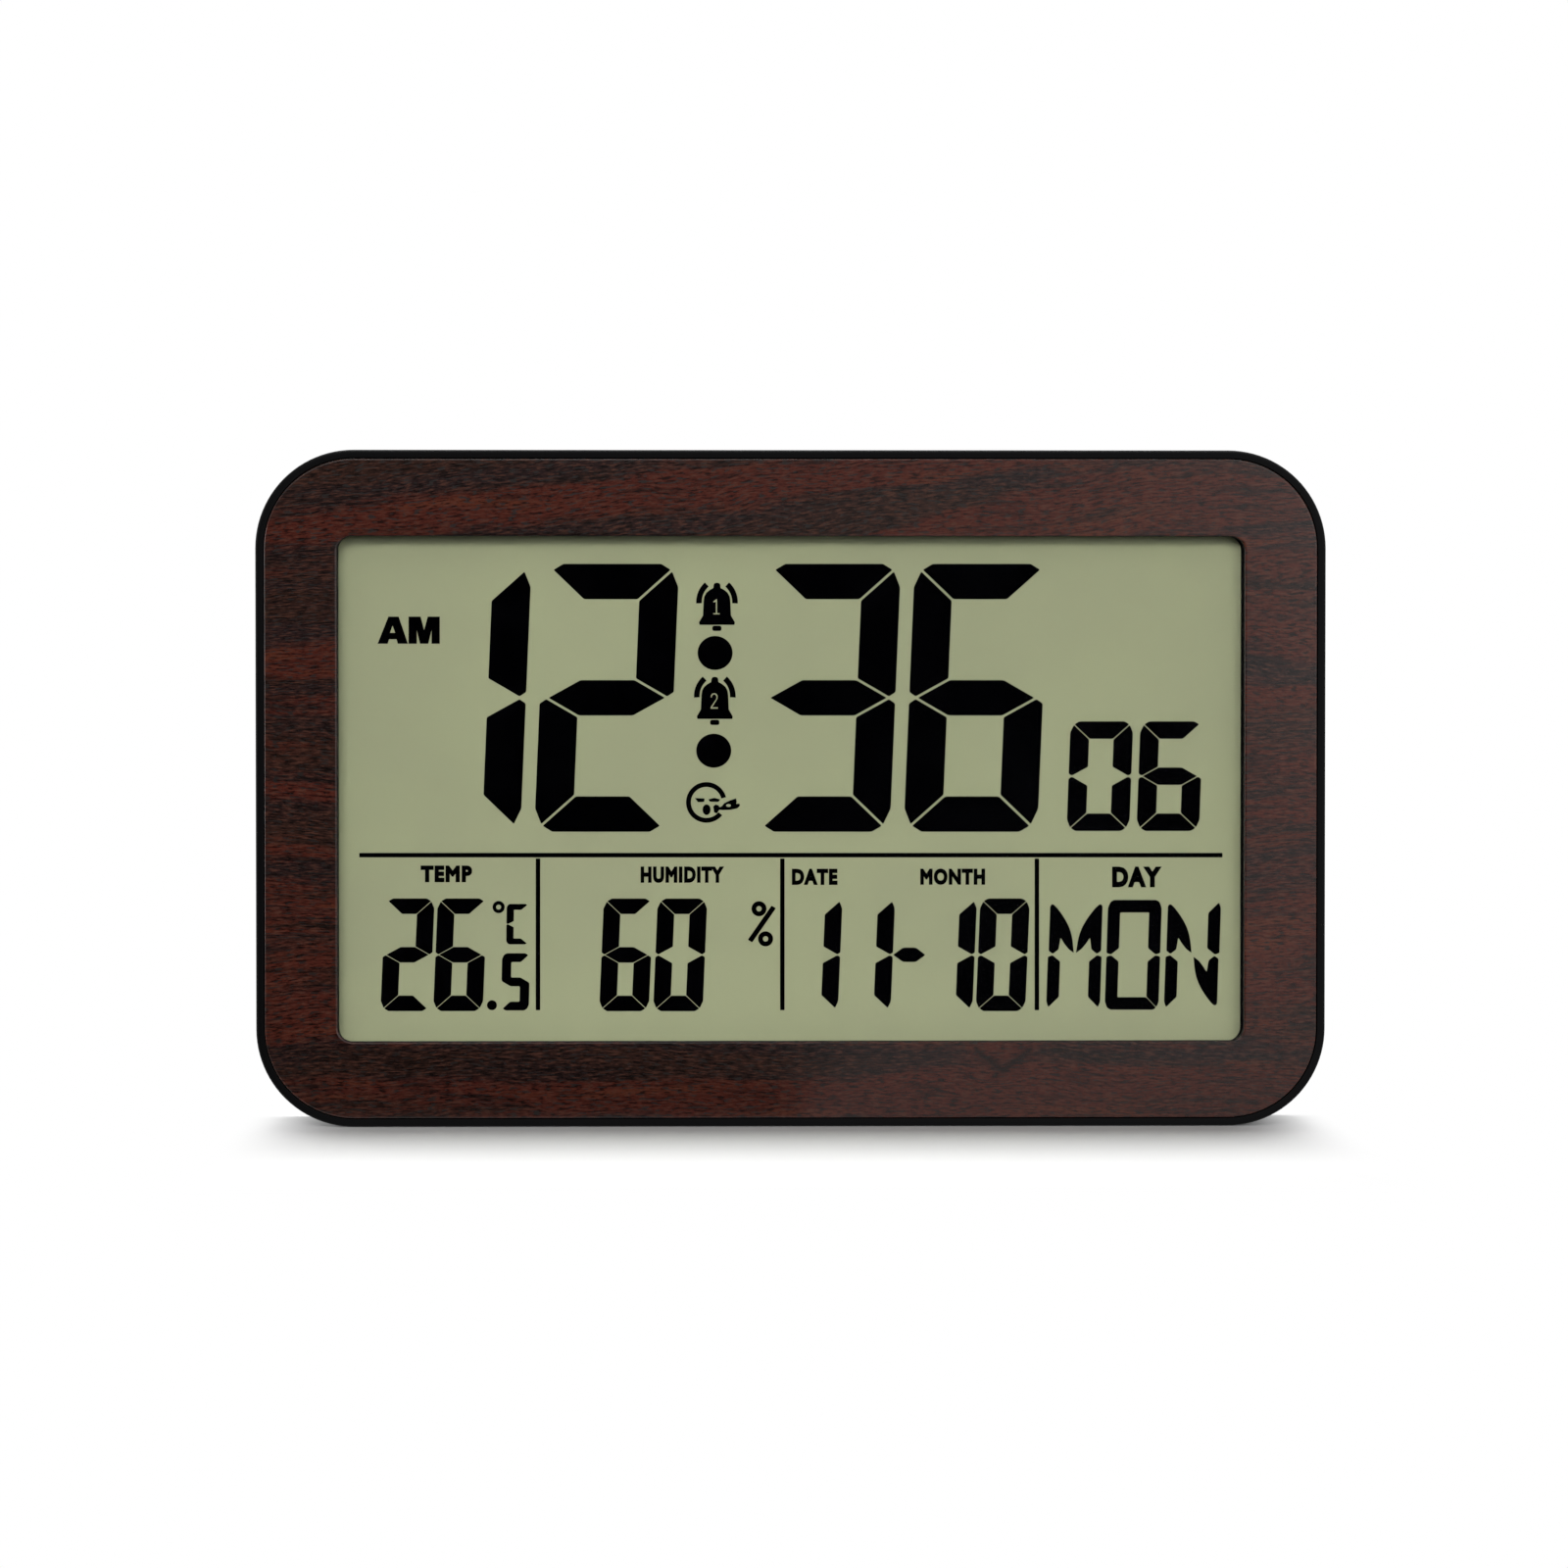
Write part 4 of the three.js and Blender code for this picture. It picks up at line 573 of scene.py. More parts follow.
@dataclass(frozen=True)
class BoardMask:
    """A circuit board: green solder mask with the shadow of its tracks, and pale pads."""

    mask: Colour = shade(22, 82, 52)
    track: Colour = shade(36, 108, 68)
    pad: Colour = shade(186, 186, 176)
    pitch: float = 0.0009

    def make(self, name: str) -> bpy.types.Material:
        """Builds the finish.

        Args:
            name: The material's name.

        Returns:
            The material.
        """
        r = Recipe(name)
        x, _, z = r.axes()
        lanes = r.sawtooth(z + x * 0.5, self.pitch).step(0.55, 0.7)
        patch = r.cells(r.mapped((90, 1, 60)), 1.0, "SMOOTH_F1").step(0.35, 0.6)
        spots = 1 - r.cells(r.place, 210).step(0.1, 0.16)
        track = lanes * patch
        colour = r.mix(track, self.mask, self.track)
        colour = r.mix(spots * 0.8, colour, self.pad)
        return r.done(r.surface(
            Base_Color=colour, Roughness=0.34 - spots * 0.1, Metallic=spots * 0.6,
            Normal=r.bump(track + spots, 0.03, 0.6),
        ))


@dataclass(frozen=True)
class LayeredRubber:
    """The contact strip: thin dark and pale layers across its length."""

    pale: Colour = shade(212, 206, 198)
    dark: Colour = shade(44, 42, 42)
    pitch: float = 0.0002

    def make(self, name: str) -> bpy.types.Material:
        """Builds the finish.

        Args:
            name: The material's name.

        Returns:
            The material.
        """
        r = Recipe(name)
        x, _, _ = r.axes()
        grain = r.noise(r.place, 900, detail=2)
        colour = r.mix(r.sawtooth(x, self.pitch).step(0.4, 0.6), self.dark, self.pale)
        return r.done(r.surface(
            Base_Color=colour, Roughness=0.7 + (grain - 0.5) * 0.2, Normal=r.bump(grain, 0.02, 0.4),
        ))


@dataclass(frozen=True)
class CellJacket:
    """A cell's printed sleeve: a dark body, a copper band at the raised end and bare steel ends."""

    body: Colour = shade(30, 32, 36)
    band: Colour = shade(178, 112, 62)
    steel: Colour = shade(190, 190, 192)
    raised: float = 0.028
    facing: int = 1
    length: float = 0.0515
    cap: float = 0.0019
    foot: float = 0.0005
    band_length: float = 0.0135
    rule: Point = (0.0008, 0.0014)
    blur: float = 0.0001

    def make(self, name: str) -> bpy.types.Material:
        """Builds the finish.

        Args:
            name: The material's name.

        Returns:
            The material.
        """
        r = Recipe(name)
        x, _, _ = r.axes()
        inwards = (self.raised - x) * self.facing

        def beyond(place: float) -> Signal:
            """1 further in than a place, from the raised end."""
            return inwards.step(place, place + self.blur)

        bare = (1 - beyond(self.cap)).most(beyond(self.length - self.foot))
        start, end = (self.band_length + edge for edge in self.rule)
        inked = (1 - beyond(self.band_length)).most(beyond(start) * (1 - beyond(end)))
        scuff = r.noise(r.mapped((300, 900, 900)), 1, detail=3)
        colour = r.mix(inked, self.body, self.band)
        colour = r.mix(bare.most(scuff.step(0.62, 0.75) * 0.2), colour, self.steel)
        return r.done(r.surface(
            Base_Color=colour, Roughness=0.3 + (scuff - 0.5) * 0.2, Metallic=bare.most(inked * 0.7),
            Normal=r.bump(scuff, 0.01, 0.3),
        ))


def drawn_brass() -> PlatedMetal:
    """The sounder's rolled brass."""
    return PlatedMetal(shade(196, 168, 96), shade(160, 132, 72), 0.3)


def sheath(colour: Colour) -> MouldedPlastic:
    """A wire's soft sheath of a colour."""
    return MouldedPlastic(colour, tuple(min(c * 1.5 + 0.01, 1.0) for c in colour[:3]) + (1.0,), 0.5, 0.01)


class Paints:
    """Every finish of the clock by its slot, each made when it is first asked for."""

    FINISHES: dict[Slot, Any] = {
        Slot.WOOD: WoodPrint(),
        Slot.CASE: MouldedPlastic(shade(3, 3, 4), shade(7, 7, 8), 0.5, 0.006, 2600.0, 0.06),
        Slot.COVER: MouldedPlastic(),
        Slot.LENS: ClearSheet(),
        Slot.GLASS: ClearSheet((0.93, 0.96, 0.93, 1.0), 1.52),
        Slot.FILM: DisplayFilm(),
        Slot.WHITE: MouldedPlastic(shade(222, 222, 217), shade(232, 232, 229), 0.45, 0.01),
        Slot.RUBBER: LayeredRubber(),
        Slot.BOARD: BoardMask(),
        Slot.SCREW: PlatedMetal(shade(182, 182, 184), shade(132, 132, 134), 0.32),
        Slot.CONTACT: PlatedMetal(),
        Slot.BRASS: drawn_brass(),
        Slot.RESIN: MouldedPlastic(shade(16, 16, 17), shade(30, 30, 32), 0.22, 0.02, 500.0, 0.5),
        Slot.JACKET: CellJacket(),
        Slot.RED: sheath(shade(170, 26, 22)),
        Slot.BLACK: sheath(shade(22, 22, 24)),
        Slot.GREY: sheath(shade(120, 122, 126)),
    }

    def __init__(self) -> None:
        """Starts with no material made."""
        self.made: dict[str, bpy.types.Material] = {}

    def of(self, slot: Slot) -> bpy.types.Material:
        """The material of a slot."""
        return self.special(slot.value, self.FINISHES[slot])

    def special(self, name: str, finish: Any) -> bpy.types.Material:
        """A finish of its own under a name, made once."""
        if name not in self.made:
            self.made[name] = finish.make(name)
        return self.made[name]


paints = Paints()


@dataclass(frozen=True)
class Span:
    """The box that a CAD node fills at rest."""

    left: float
    right: float
    front: float
    back: float
    low: float
    high: float

    @classmethod
    def of(cls, node: str) -> "Span":
        """Measures a node."""
        a, b = (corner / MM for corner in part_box(node))
        return cls(a.x, b.x, a.y - FACE, b.y - FACE, a.z, b.z)

    @property
    def middle(self) -> Vector:
        """The box's centre as x, depth and z."""
        return Vector((self.left + self.right, self.front + self.back, self.low + self.high)) / 2


@dataclass(frozen=True)
class Outline:
    """A rectangle with round corners across the front."""

    reach: float
    low: float
    high: float
    corner: float
    steps: int = 24
    x: float = 0.0

    def grown(self, by: float) -> "Outline":
        """The outline that much larger all round."""
        return replace(
            self, reach=self.reach + by, low=self.low - by, high=self.high + by, corner=max(self.corner + by, 0.05)
        )


class Form:
    """A mesh in the making: x and z across the front, y the depth."""

    STAGGER = 0.001
    CAD_MERGE = 1e-3
    CAD_FLAT = math.radians(0.4)

    def __init__(self) -> None:
        """Starts an empty form."""
        self.bm = bmesh.new()
        self.loops = 0

    def loop(self, outline: Outline, depth: float) -> list[bmesh.types.BMEdge]:
        """Draws an outline at a depth, from four corners that are then rounded.

        Each loop is set a hair deeper than the one before, because two in one plane bridge crosswise.

        Args:
            outline: The rounded rectangle.
            depth: Its depth.

        Returns:
            The edges of the closed loop.
        """
        bm = self.bm
        known = set(bm.faces)
        self.loops += 1
        depth += self.loops * self.STAGGER
        signs = ((-1, 0), (1, 0), (1, 1), (-1, 1))
        heights = (outline.low, outline.high)
        corners = [bm.verts.new((outline.x + side * outline.reach, depth, heights[top])) for side, top in signs]
        bm.faces.new(corners)
        bmesh.ops.bevel(
            bm, geom=corners, offset=outline.corner, offset_type="OFFSET", segments=outline.steps,
            profile=0.5, affect="VERTICES", clamp_overlap=False, material=-1,
        )
        (face,) = set(bm.faces) - known
        edges = list(face.edges)
        bm.faces.remove(face)
        return edges

    def bridge(self, *loops: list[bmesh.types.BMEdge]) -> None:
        """Joins each loop to the next with a band of faces."""
        for first, second in zip(loops, loops[1:]):
            bmesh.ops.bridge_loops(self.bm, edges=first + second)

    def cap(self, *loops: list[bmesh.types.BMEdge]) -> None:
        """Closes each loop with one face."""
        for edges in loops:
            bmesh.ops.edgeloop_fill(self.bm, edges=edges)

    def soften(self, edges: Iterable[bmesh.types.BMEdge], radius: float, segments: int = 4) -> None:
        """Rounds edges to a radius."""
        bmesh.ops.bevel(
            self.bm, geom=list(edges), offset=radius, offset_type="OFFSET", segments=segments, profile=0.5,
            affect="EDGES", clamp_overlap=False, material=-1,
        )

    def turned(
        self, profile: Sequence[Point], centre: Sequence[float], axis: Axis = Axis.DEPTH, steps: int = 40
    ) -> list[bmesh.types.BMVert]:
        """Spins a profile of radius and place along the axis.

        Args:
            profile: Pairs of radius and place along the axis.
            centre: The axis's own place, as x, depth and z.
            axis: The direction of the axis.
            steps: The number of sides.

        Returns:
            The new vertices.
        """
        known = set(self.bm.verts)
        hub = Vector(centre)
        across = Vector((0, 0, 1))
        verts = [self.bm.verts.new(hub + across * radius + axis.value * along) for radius, along in profile]
        edges = [self.bm.edges.new(pair) for pair in zip(verts, verts[1:])]
        bmesh.ops.spin(
            self.bm, geom=verts + edges, cent=hub, axis=axis.value, dvec=(0, 0, 0), angle=math.tau,
            steps=steps, use_merge=True, use_duplicate=False,
        )
        bmesh.ops.remove_doubles(self.bm, verts=[v for v in self.bm.verts if v not in known], dist=MERGE)
        return [v for v in self.bm.verts if v not in known]

    def block(
        self, low: Sequence[float], high: Sequence[float], corner: float = 0.0, along: int = 0, steps: int = 4
    ) -> list[bmesh.types.BMVert]:
        """A box between two corners, with its edges along one axis rounded.

        Args:
            low: The lowest corner, as x, depth and z.
            high: The highest corner.
            corner: The radius of the rounded edges.
            along: The axis that they lie along.
            steps: The segments of each round.

        Returns:
            The new vertices.
        """
        known = set(self.bm.verts)
        a, b = Vector(low), Vector(high)
        place = Matrix.Translation((a + b) / 2) @ Matrix.Diagonal((*(b - a), 1))
        cube = bmesh.ops.create_cube(self.bm, size=1, matrix=place)
        if corner:
            edges = {e for v in cube["verts"] for e in v.link_edges}
            sides = [i for i in range(3) if i != along]
            self.soften([e for e in edges if all(abs(self.run(e)[i]) < MERGE for i in sides)], corner, steps)
        return [v for v in self.bm.verts if v not in known]

    @staticmethod
    def run(edge: bmesh.types.BMEdge) -> Vector:
        """The way from an edge's one end to the other."""
        return edge.verts[1].co - edge.verts[0].co

    def wire(self, points: Sequence[Vector], radius: float, sides: int = 3) -> None:
        """Adds a round wire along points.

        Args:
            points: The wire's middle line, as x, depth and z.
            radius: Its radius.
            sides: How finely it is rounded.
        """
        curve = bpy.data.curves.new("wire", "CURVE")
        curve.dimensions = "3D"
        curve.bevel_depth = radius
        curve.bevel_resolution = sides
        curve.use_fill_caps = True
        spline = curve.splines.new("POLY")
        spline.points.add(len(points) - 1)
        for target, point in zip(spline.points, points):
            target.co = (*point, 1)
        holder = bpy.data.objects.new("wire", curve)
        mesh = bpy.data.meshes.new_from_object(holder)
        known = set(self.bm.verts)
        self.bm.from_mesh(mesh)
        bmesh.ops.remove_doubles(self.bm, verts=[v for v in self.bm.verts if v not in known], dist=MERGE)
        bpy.data.objects.remove(holder)
        bpy.data.curves.remove(curve)
        bpy.data.meshes.remove(mesh)

    def sheet(self, points: Sequence[Sequence[float]]) -> bmesh.types.BMFace:
        """One flat face through points of x, depth and z."""
        return self.bm.faces.new([self.bm.verts.new(p) for p in points])

    def thicken(self, faces: Iterable[bmesh.types.BMFace], by: float) -> None:
        """Extrudes faces along the depth.

        Args:
            faces: The faces, which also stay as the other side.
            by: How far.
        """
        made = bmesh.ops.extrude_face_region(self.bm, geom=list(faces), use_keep_orig=True)
        moved = [g for g in made["geom"] if isinstance(g, bmesh.types.BMVert)]
        bmesh.ops.translate(self.bm, verts=moved, vec=(0, by, 0))

    def take(self, mesh: bpy.types.Mesh) -> None:
        """Adds a copy of a CAD mesh, with its loose triangles merged and its flat faces joined.

        Args:
            mesh: The CAD node's mesh, which stays as it is.
        """
        self.bm.from_mesh(mesh)
        move = Matrix.Translation((0, -FACE, 0)) @ Matrix.Scale(1 / MM, 4)
        bmesh.ops.transform(self.bm, matrix=move, verts=self.bm.verts)
        bmesh.ops.remove_doubles(self.bm, verts=self.bm.verts, dist=self.CAD_MERGE)
        bmesh.ops.dissolve_limit(
            self.bm, angle_limit=self.CAD_FLAT, use_dissolve_boundaries=False,
            verts=self.bm.verts, edges=self.bm.edges, delimit={"NORMAL"},
        )

    def finish(
        self, name: str, body: str, slot: Slot, material: bpy.types.Material, *nodes: str, angle: float = 32
    ) -> bpy.types.Object:
        """Makes the form a piece of the clock.

        Args:
            name: The piece's name.
            body: The CAD body that it rides on.
            slot: Not used.
            material: The finish.
            nodes: The CAD nodes that it stands for.
            angle: The least angle in degrees that stays a sharp edge.

        Returns:
            The piece's object.
        """
        bmesh.ops.recalc_face_normals(self.bm, faces=self.bm.faces)
        self.bm.transform(Matrix.Scale(MM, 4) @ Matrix.Translation((0, FACE, 0)))
        mesh = bpy.data.meshes.new(name)
        self.bm.to_mesh(mesh)
        self.bm.free()
        mesh.materials.append(material)
        mesh.shade_smooth()
        mesh.set_sharp_from_angle(angle=math.radians(angle))
        piece = bpy.data.objects.new(name, mesh)
        bpy.context.scene.collection.objects.link(piece)
        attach(piece, body)
        if nodes:
            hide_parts(*nodes)
        log.info("%s rides on %s, %d faces", name, body, len(mesh.polygons))
        return piece


def even_normals(piece: bpy.types.Object) -> None:
    """Lets a piece's large faces decide the shading of its rounded edges."""
    made = piece.modifiers.new("Even normals", "WEIGHTED_NORMAL")
    made.keep_sharp = True


def rounded_copy(node: str, name: str, body: str, slot: Slot, edge: float) -> bpy.types.Object:
    """A copy of a CAD node whose sharp edges are rounded, in place of the node.

    Args:
        node: The CAD node.
        name: The new piece's name.
        body: The body that it rides on.
        slot: The slot of its finish.
        edge: The radius of the rounded edges.

    Returns:
        The new piece.
    """
    form = Form()
    form.take(frame["nodes"][node].data)
    piece = form.finish(name, body, slot, paints.of(slot), node)
    rounding = piece.modifiers.new("Edges", "BEVEL")
    rounding.width = edge * MM
    rounding.segments = 2
    rounding.limit_method = "ANGLE"
    rounding.angle_limit = ROUNDED_FROM
    rounding.harden_normals = False
    even_normals(piece)
    return piece


def smooth_copy(node: str, name: str, slot: Slot) -> bpy.types.Object:
    """A copy of a bent CAD tube with a finer surface, in place of the node.

    Args:
        node: The CAD node.
        name: The new piece's name.
        slot: The slot of its finish.

    Returns:
        The new piece.
    """
    form = Form()
    form.take(frame["nodes"][node].data)
    crease = form.bm.edges.layers.float.new("crease_edge")
    for edge in form.bm.edges:
        if edge.is_manifold and edge.calc_face_angle() > CREASED_FROM:
            edge[crease] = 1.0
    piece = form.finish(name, "case", slot, paints.of(slot), node, angle=math.degrees(CREASED_FROM))
    finer = piece.modifiers.new("Finer", "SUBSURF")
    finer.levels = finer.render_levels = 2
    return piece


@dataclass(frozen=True)
class PhotoView:
    """The photograph's camera, and how a pixel of it falls on the clock."""

    picture: float = 1600.0
    pixel: float = 0.1977
    centre: Point = (807.7, 804.9)
    distance: float = 1000.0
    azimuth: float = -1.0
    elevation: float = 1.2
    sensor: float = 36.0

    @cached_property
    def aim(self) -> Vector:
        """The point of the panel's face that the picture's middle shows."""
        half = self.picture / 2
        middle = Span.of("front_case").middle.z
        return Vector(((half - self.centre[0]) * self.pixel, 0, middle + (self.centre[1] - half) * self.pixel))

    @cached_property
    def axes(self) -> tuple[Vector, Vector, Vector]:
        """The directions to the right, up and forward of the camera."""
        az, el = math.radians(self.azimuth), math.radians(self.elevation)
        forward = -Vector((math.sin(az) * math.cos(el), -math.cos(az) * math.cos(el), math.sin(el)))
        right = forward.cross(Vector((0, 0, 1))).normalized()
        return right, right.cross(forward), forward

    @cached_property
    def eye(self) -> Vector:
        """The camera's own place, as x, depth and z."""
        return self.aim - self.axes[2] * self.distance

    def onto(self, x: float, y: float, depth: float) -> Vector:
        """Where a pixel's ray meets a plane across the clock.

        Args:
            x: The pixel's column.
            y: The pixel's row.
            depth: The plane's depth.

        Returns:
            The point as x, depth and z.
        """
        right, up, forward = self.axes
        step = self.pixel / self.distance
        half = self.picture / 2
        ray = forward + right * (x - half) * step + up * (half - y) * step
        eye = self.eye
        return eye + ray * ((depth - eye.y) / ray.y)

    def set_camera(self) -> None:
        """Puts the scene's camera in this place."""
        data = bpy.data.cameras.new("photo_camera")
        data.sensor_width = self.sensor
        data.lens = self.sensor * self.distance / (self.picture * self.pixel)
        data.clip_start = 0.01
        camera = bpy.data.objects.new("photo_camera", data)
        right, up, forward = self.axes
        turn = Matrix((right, up, -forward)).transposed().to_4x4()
        eye = self.eye
        camera.matrix_world = Matrix.Translation(Vector((eye.x, eye.y + FACE, eye.z)) * MM) @ turn
        bpy.context.scene.collection.objects.link(camera)
        bpy.context.scene.camera = camera


view = PhotoView()


@dataclass
class FrontPanel:
    """The printed panel round the window: one sheet with softened edges."""

    corner: float = 18.0
    inset: float = 0.15
    edge_round: float = 0.35
    window_round: float = 0.45
    window_corner: float = 2.9
    side_margin: float = 2.4
    low_margin: float = 2.34
    high_margin: float = 2.42

    def window(self) -> Outline:
        """The window's outline, from the lens that reaches a margin beyond it."""
        lens = Span.of("window_lens")
        low, high = lens.low + self.low_margin, lens.high - self.high_margin
        return Outline(lens.right - self.side_margin, low, high, self.window_corner)

    def build(self) -> None:
        """Models the sheet, with its window and its two rounded edges."""
        sheet = Span.of("front_panel")
        outside = Outline(sheet.right, sheet.low, sheet.high, self.corner + self.inset).grown(-self.inset)
        hole = self.window()
        form = Form()
        front, back = form.loop(outside, 0), form.loop(outside, sheet.back)
        lip, rear = form.loop(hole, 0), form.loop(hole, sheet.back)
        form.bridge(front, back, rear, lip, front)
        form.soften(front, self.edge_round)
        form.soften(lip, self.window_round)
        piece = form.finish("wood_panel", "case", Slot.WOOD, paints.of(Slot.WOOD), "front_panel")
        even_normals(piece)


@dataclass
class FrontCase:
    """The front half of the case: its thin rim, its wall, the window's flange and the screw posts.

    The flange's opening is that much beyond the window at its sides, below and above, and set aside
    from its middle, so that a thin dark line of it shows at the window's right edge only. That line is
    painted shade: the black ledge is shifted to one side to stand for the shade of the window's right wall.
    """

    corner: float = 19.8
    rim_front: float = 0.3
    rim_width: float = 1.66
    rim_round: float = 0.7
    lip_round: float = 0.12
    wall: float = 2.0
    flange_front: float = 1.9
    lens_seat: float = 3.0
    flange_back: float = 4.1
    lens_fit: float = 0.1
    lens_corner: float = 5.4
    # beyond and aside leave a strip of the black ledge at the window's right edge only, as painted shade.
    beyond: tuple[float, float, float] = (-0.17, 0.33, 0.12)
    aside: float = -0.17
    post: float = 3.0
    post_sink: float = 0.6
    pilot: float = 1.5
    corner_post: Point = (9.7, 17.95)
    ear_post: Point = (3.4, 7.0)

    def build(self, window: Outline) -> None:
        """Models the shell as one ring of walls, with its posts.

        Args:
            window: The window's outline.
        """
        case = Span.of("front_case")
        outside = Outline(case.right, case.low, case.high, self.corner)
        within = outside.grown(-self.rim_width)
        form = Form()
        side, below, above = self.beyond
        # The shifted opening leaves the strip of painted shade at the window's right edge.
        opening = replace(
            window, reach=window.reach + side, low=window.low - below, high=window.high + above, x=self.aside
        )
        lens = Span.of("window_lens")
        pocket = Outline(lens.right, lens.low, lens.high, self.lens_corner).grown(self.lens_fit)
        rim = form.loop(outside, self.rim_front)
        lip = form.loop(within, self.rim_front)
        inside = outside.grown(-self.wall)
        ring = [
            form.loop(opening, self.flange_back),
            form.loop(opening, self.lens_seat),
            form.loop(pocket, self.lens_seat),
            form.loop(pocket, self.flange_front),
            form.loop(within, self.flange_front),
            lip,
            rim,
            form.loop(outside, case.back),
            form.loop(inside, case.back),
            form.loop(inside, self.flange_back),
        ]
        form.bridge(*ring, ring[0])
        form.soften(rim, self.rim_round, 6)
        form.soften(lip, self.lip_round, 2)
        foot = self.flange_back - self.post_sink
        for i in range(1, 5):
            corner, ear = Span.of(f"case_screw_{i}").middle, Span.of(f"holder_screw_{i}").middle
            for spot, (bore, back) in ((corner, self.corner_post), (ear, self.ear_post)):
                inner = [(0, bore), (self.pilot, bore), (self.pilot, back), (self.post, back)]
                form.turned([*inner, (self.post, foot), (0, foot)], (spot.x, 0, spot.z))
        piece = form.finish("front_shell", "case", Slot.CASE, paints.of(Slot.CASE), "front_case")
        even_normals(piece)


@dataclass(frozen=True)
class Cell:
    """The proportions of one display figure, in pixels of the photograph."""

    width: float
    height: float
    upright: float
    level: float
    gap: float
    lean: float = 0.042
    tip: float = 0.2
    soft: float = 1.0
    upper_brace: tuple[Point, ...] = ()

    def tile(self, segment: str) -> list[Point]:
        """One segment of a figure as if it had no gaps, from the cell's top left corner.

        Args:
            segment: A letter from a, at the top, clockwise to f, g in the middle, or a brace, h to j.

        Returns:
            The points of its outline.
        """
        g = self.gap / 2
        left, top, right, bottom = -g, -g, self.width + g, self.height + g
        inner_x, inner_y = self.upright + g, self.level + g
        mid, half = self.height / 2, self.level / 2 + g
        tip = left + self.tip * self.upright
        mitre = (left + 0.2 * self.upright, top + 0.2 * self.level)
        upper_bar = [
            mitre, (left + 0.5 * self.upright, top), (right - 0.5 * self.upright, top),
            (self.width - mitre[0], mitre[1]), (self.width - inner_x, inner_y), (inner_x, inner_y),
        ]
        upper_left = [
            mitre, (inner_x, inner_y), (inner_x, mid - half), (tip, mid),
            (left, mid - 0.15 * self.level), (left, top + 0.7 * self.level),
        ]
        middle_bar = [
            (tip, mid), (inner_x, mid - half), (self.width - inner_x, mid - half),
            (self.width - tip, mid), (self.width - inner_x, mid + half), (inner_x, mid + half),
        ]

        shape, across, down = {
            "a": (upper_bar, False, False), "d": (upper_bar, False, True), "g": (middle_bar, False, False),
            "f": (upper_left, False, False), "b": (upper_left, True, False),
            "e": (upper_left, False, True), "c": (upper_left, True, True),
            "h": (self.upper_brace, False, False), "i": (self.upper_brace, True, False),
            "j": (self.upper_brace, True, True),
        }[segment]
        return [(self.width - x if across else x, self.height - y if down else y) for x, y in shape]


FIGURES: dict[str, tuple[str, ...]] = {
    "0": tuple("abcdef"), "1": tuple("bc"), "2": tuple("abged"), "3": tuple("abgcd"), "6": tuple("afgcde"),
    "5": ("afgcd",), "C": ("af", "ed"), "M": tuple("hiec"), "O": ("fab", "ed", "c"), "N": tuple("hebj"),
}


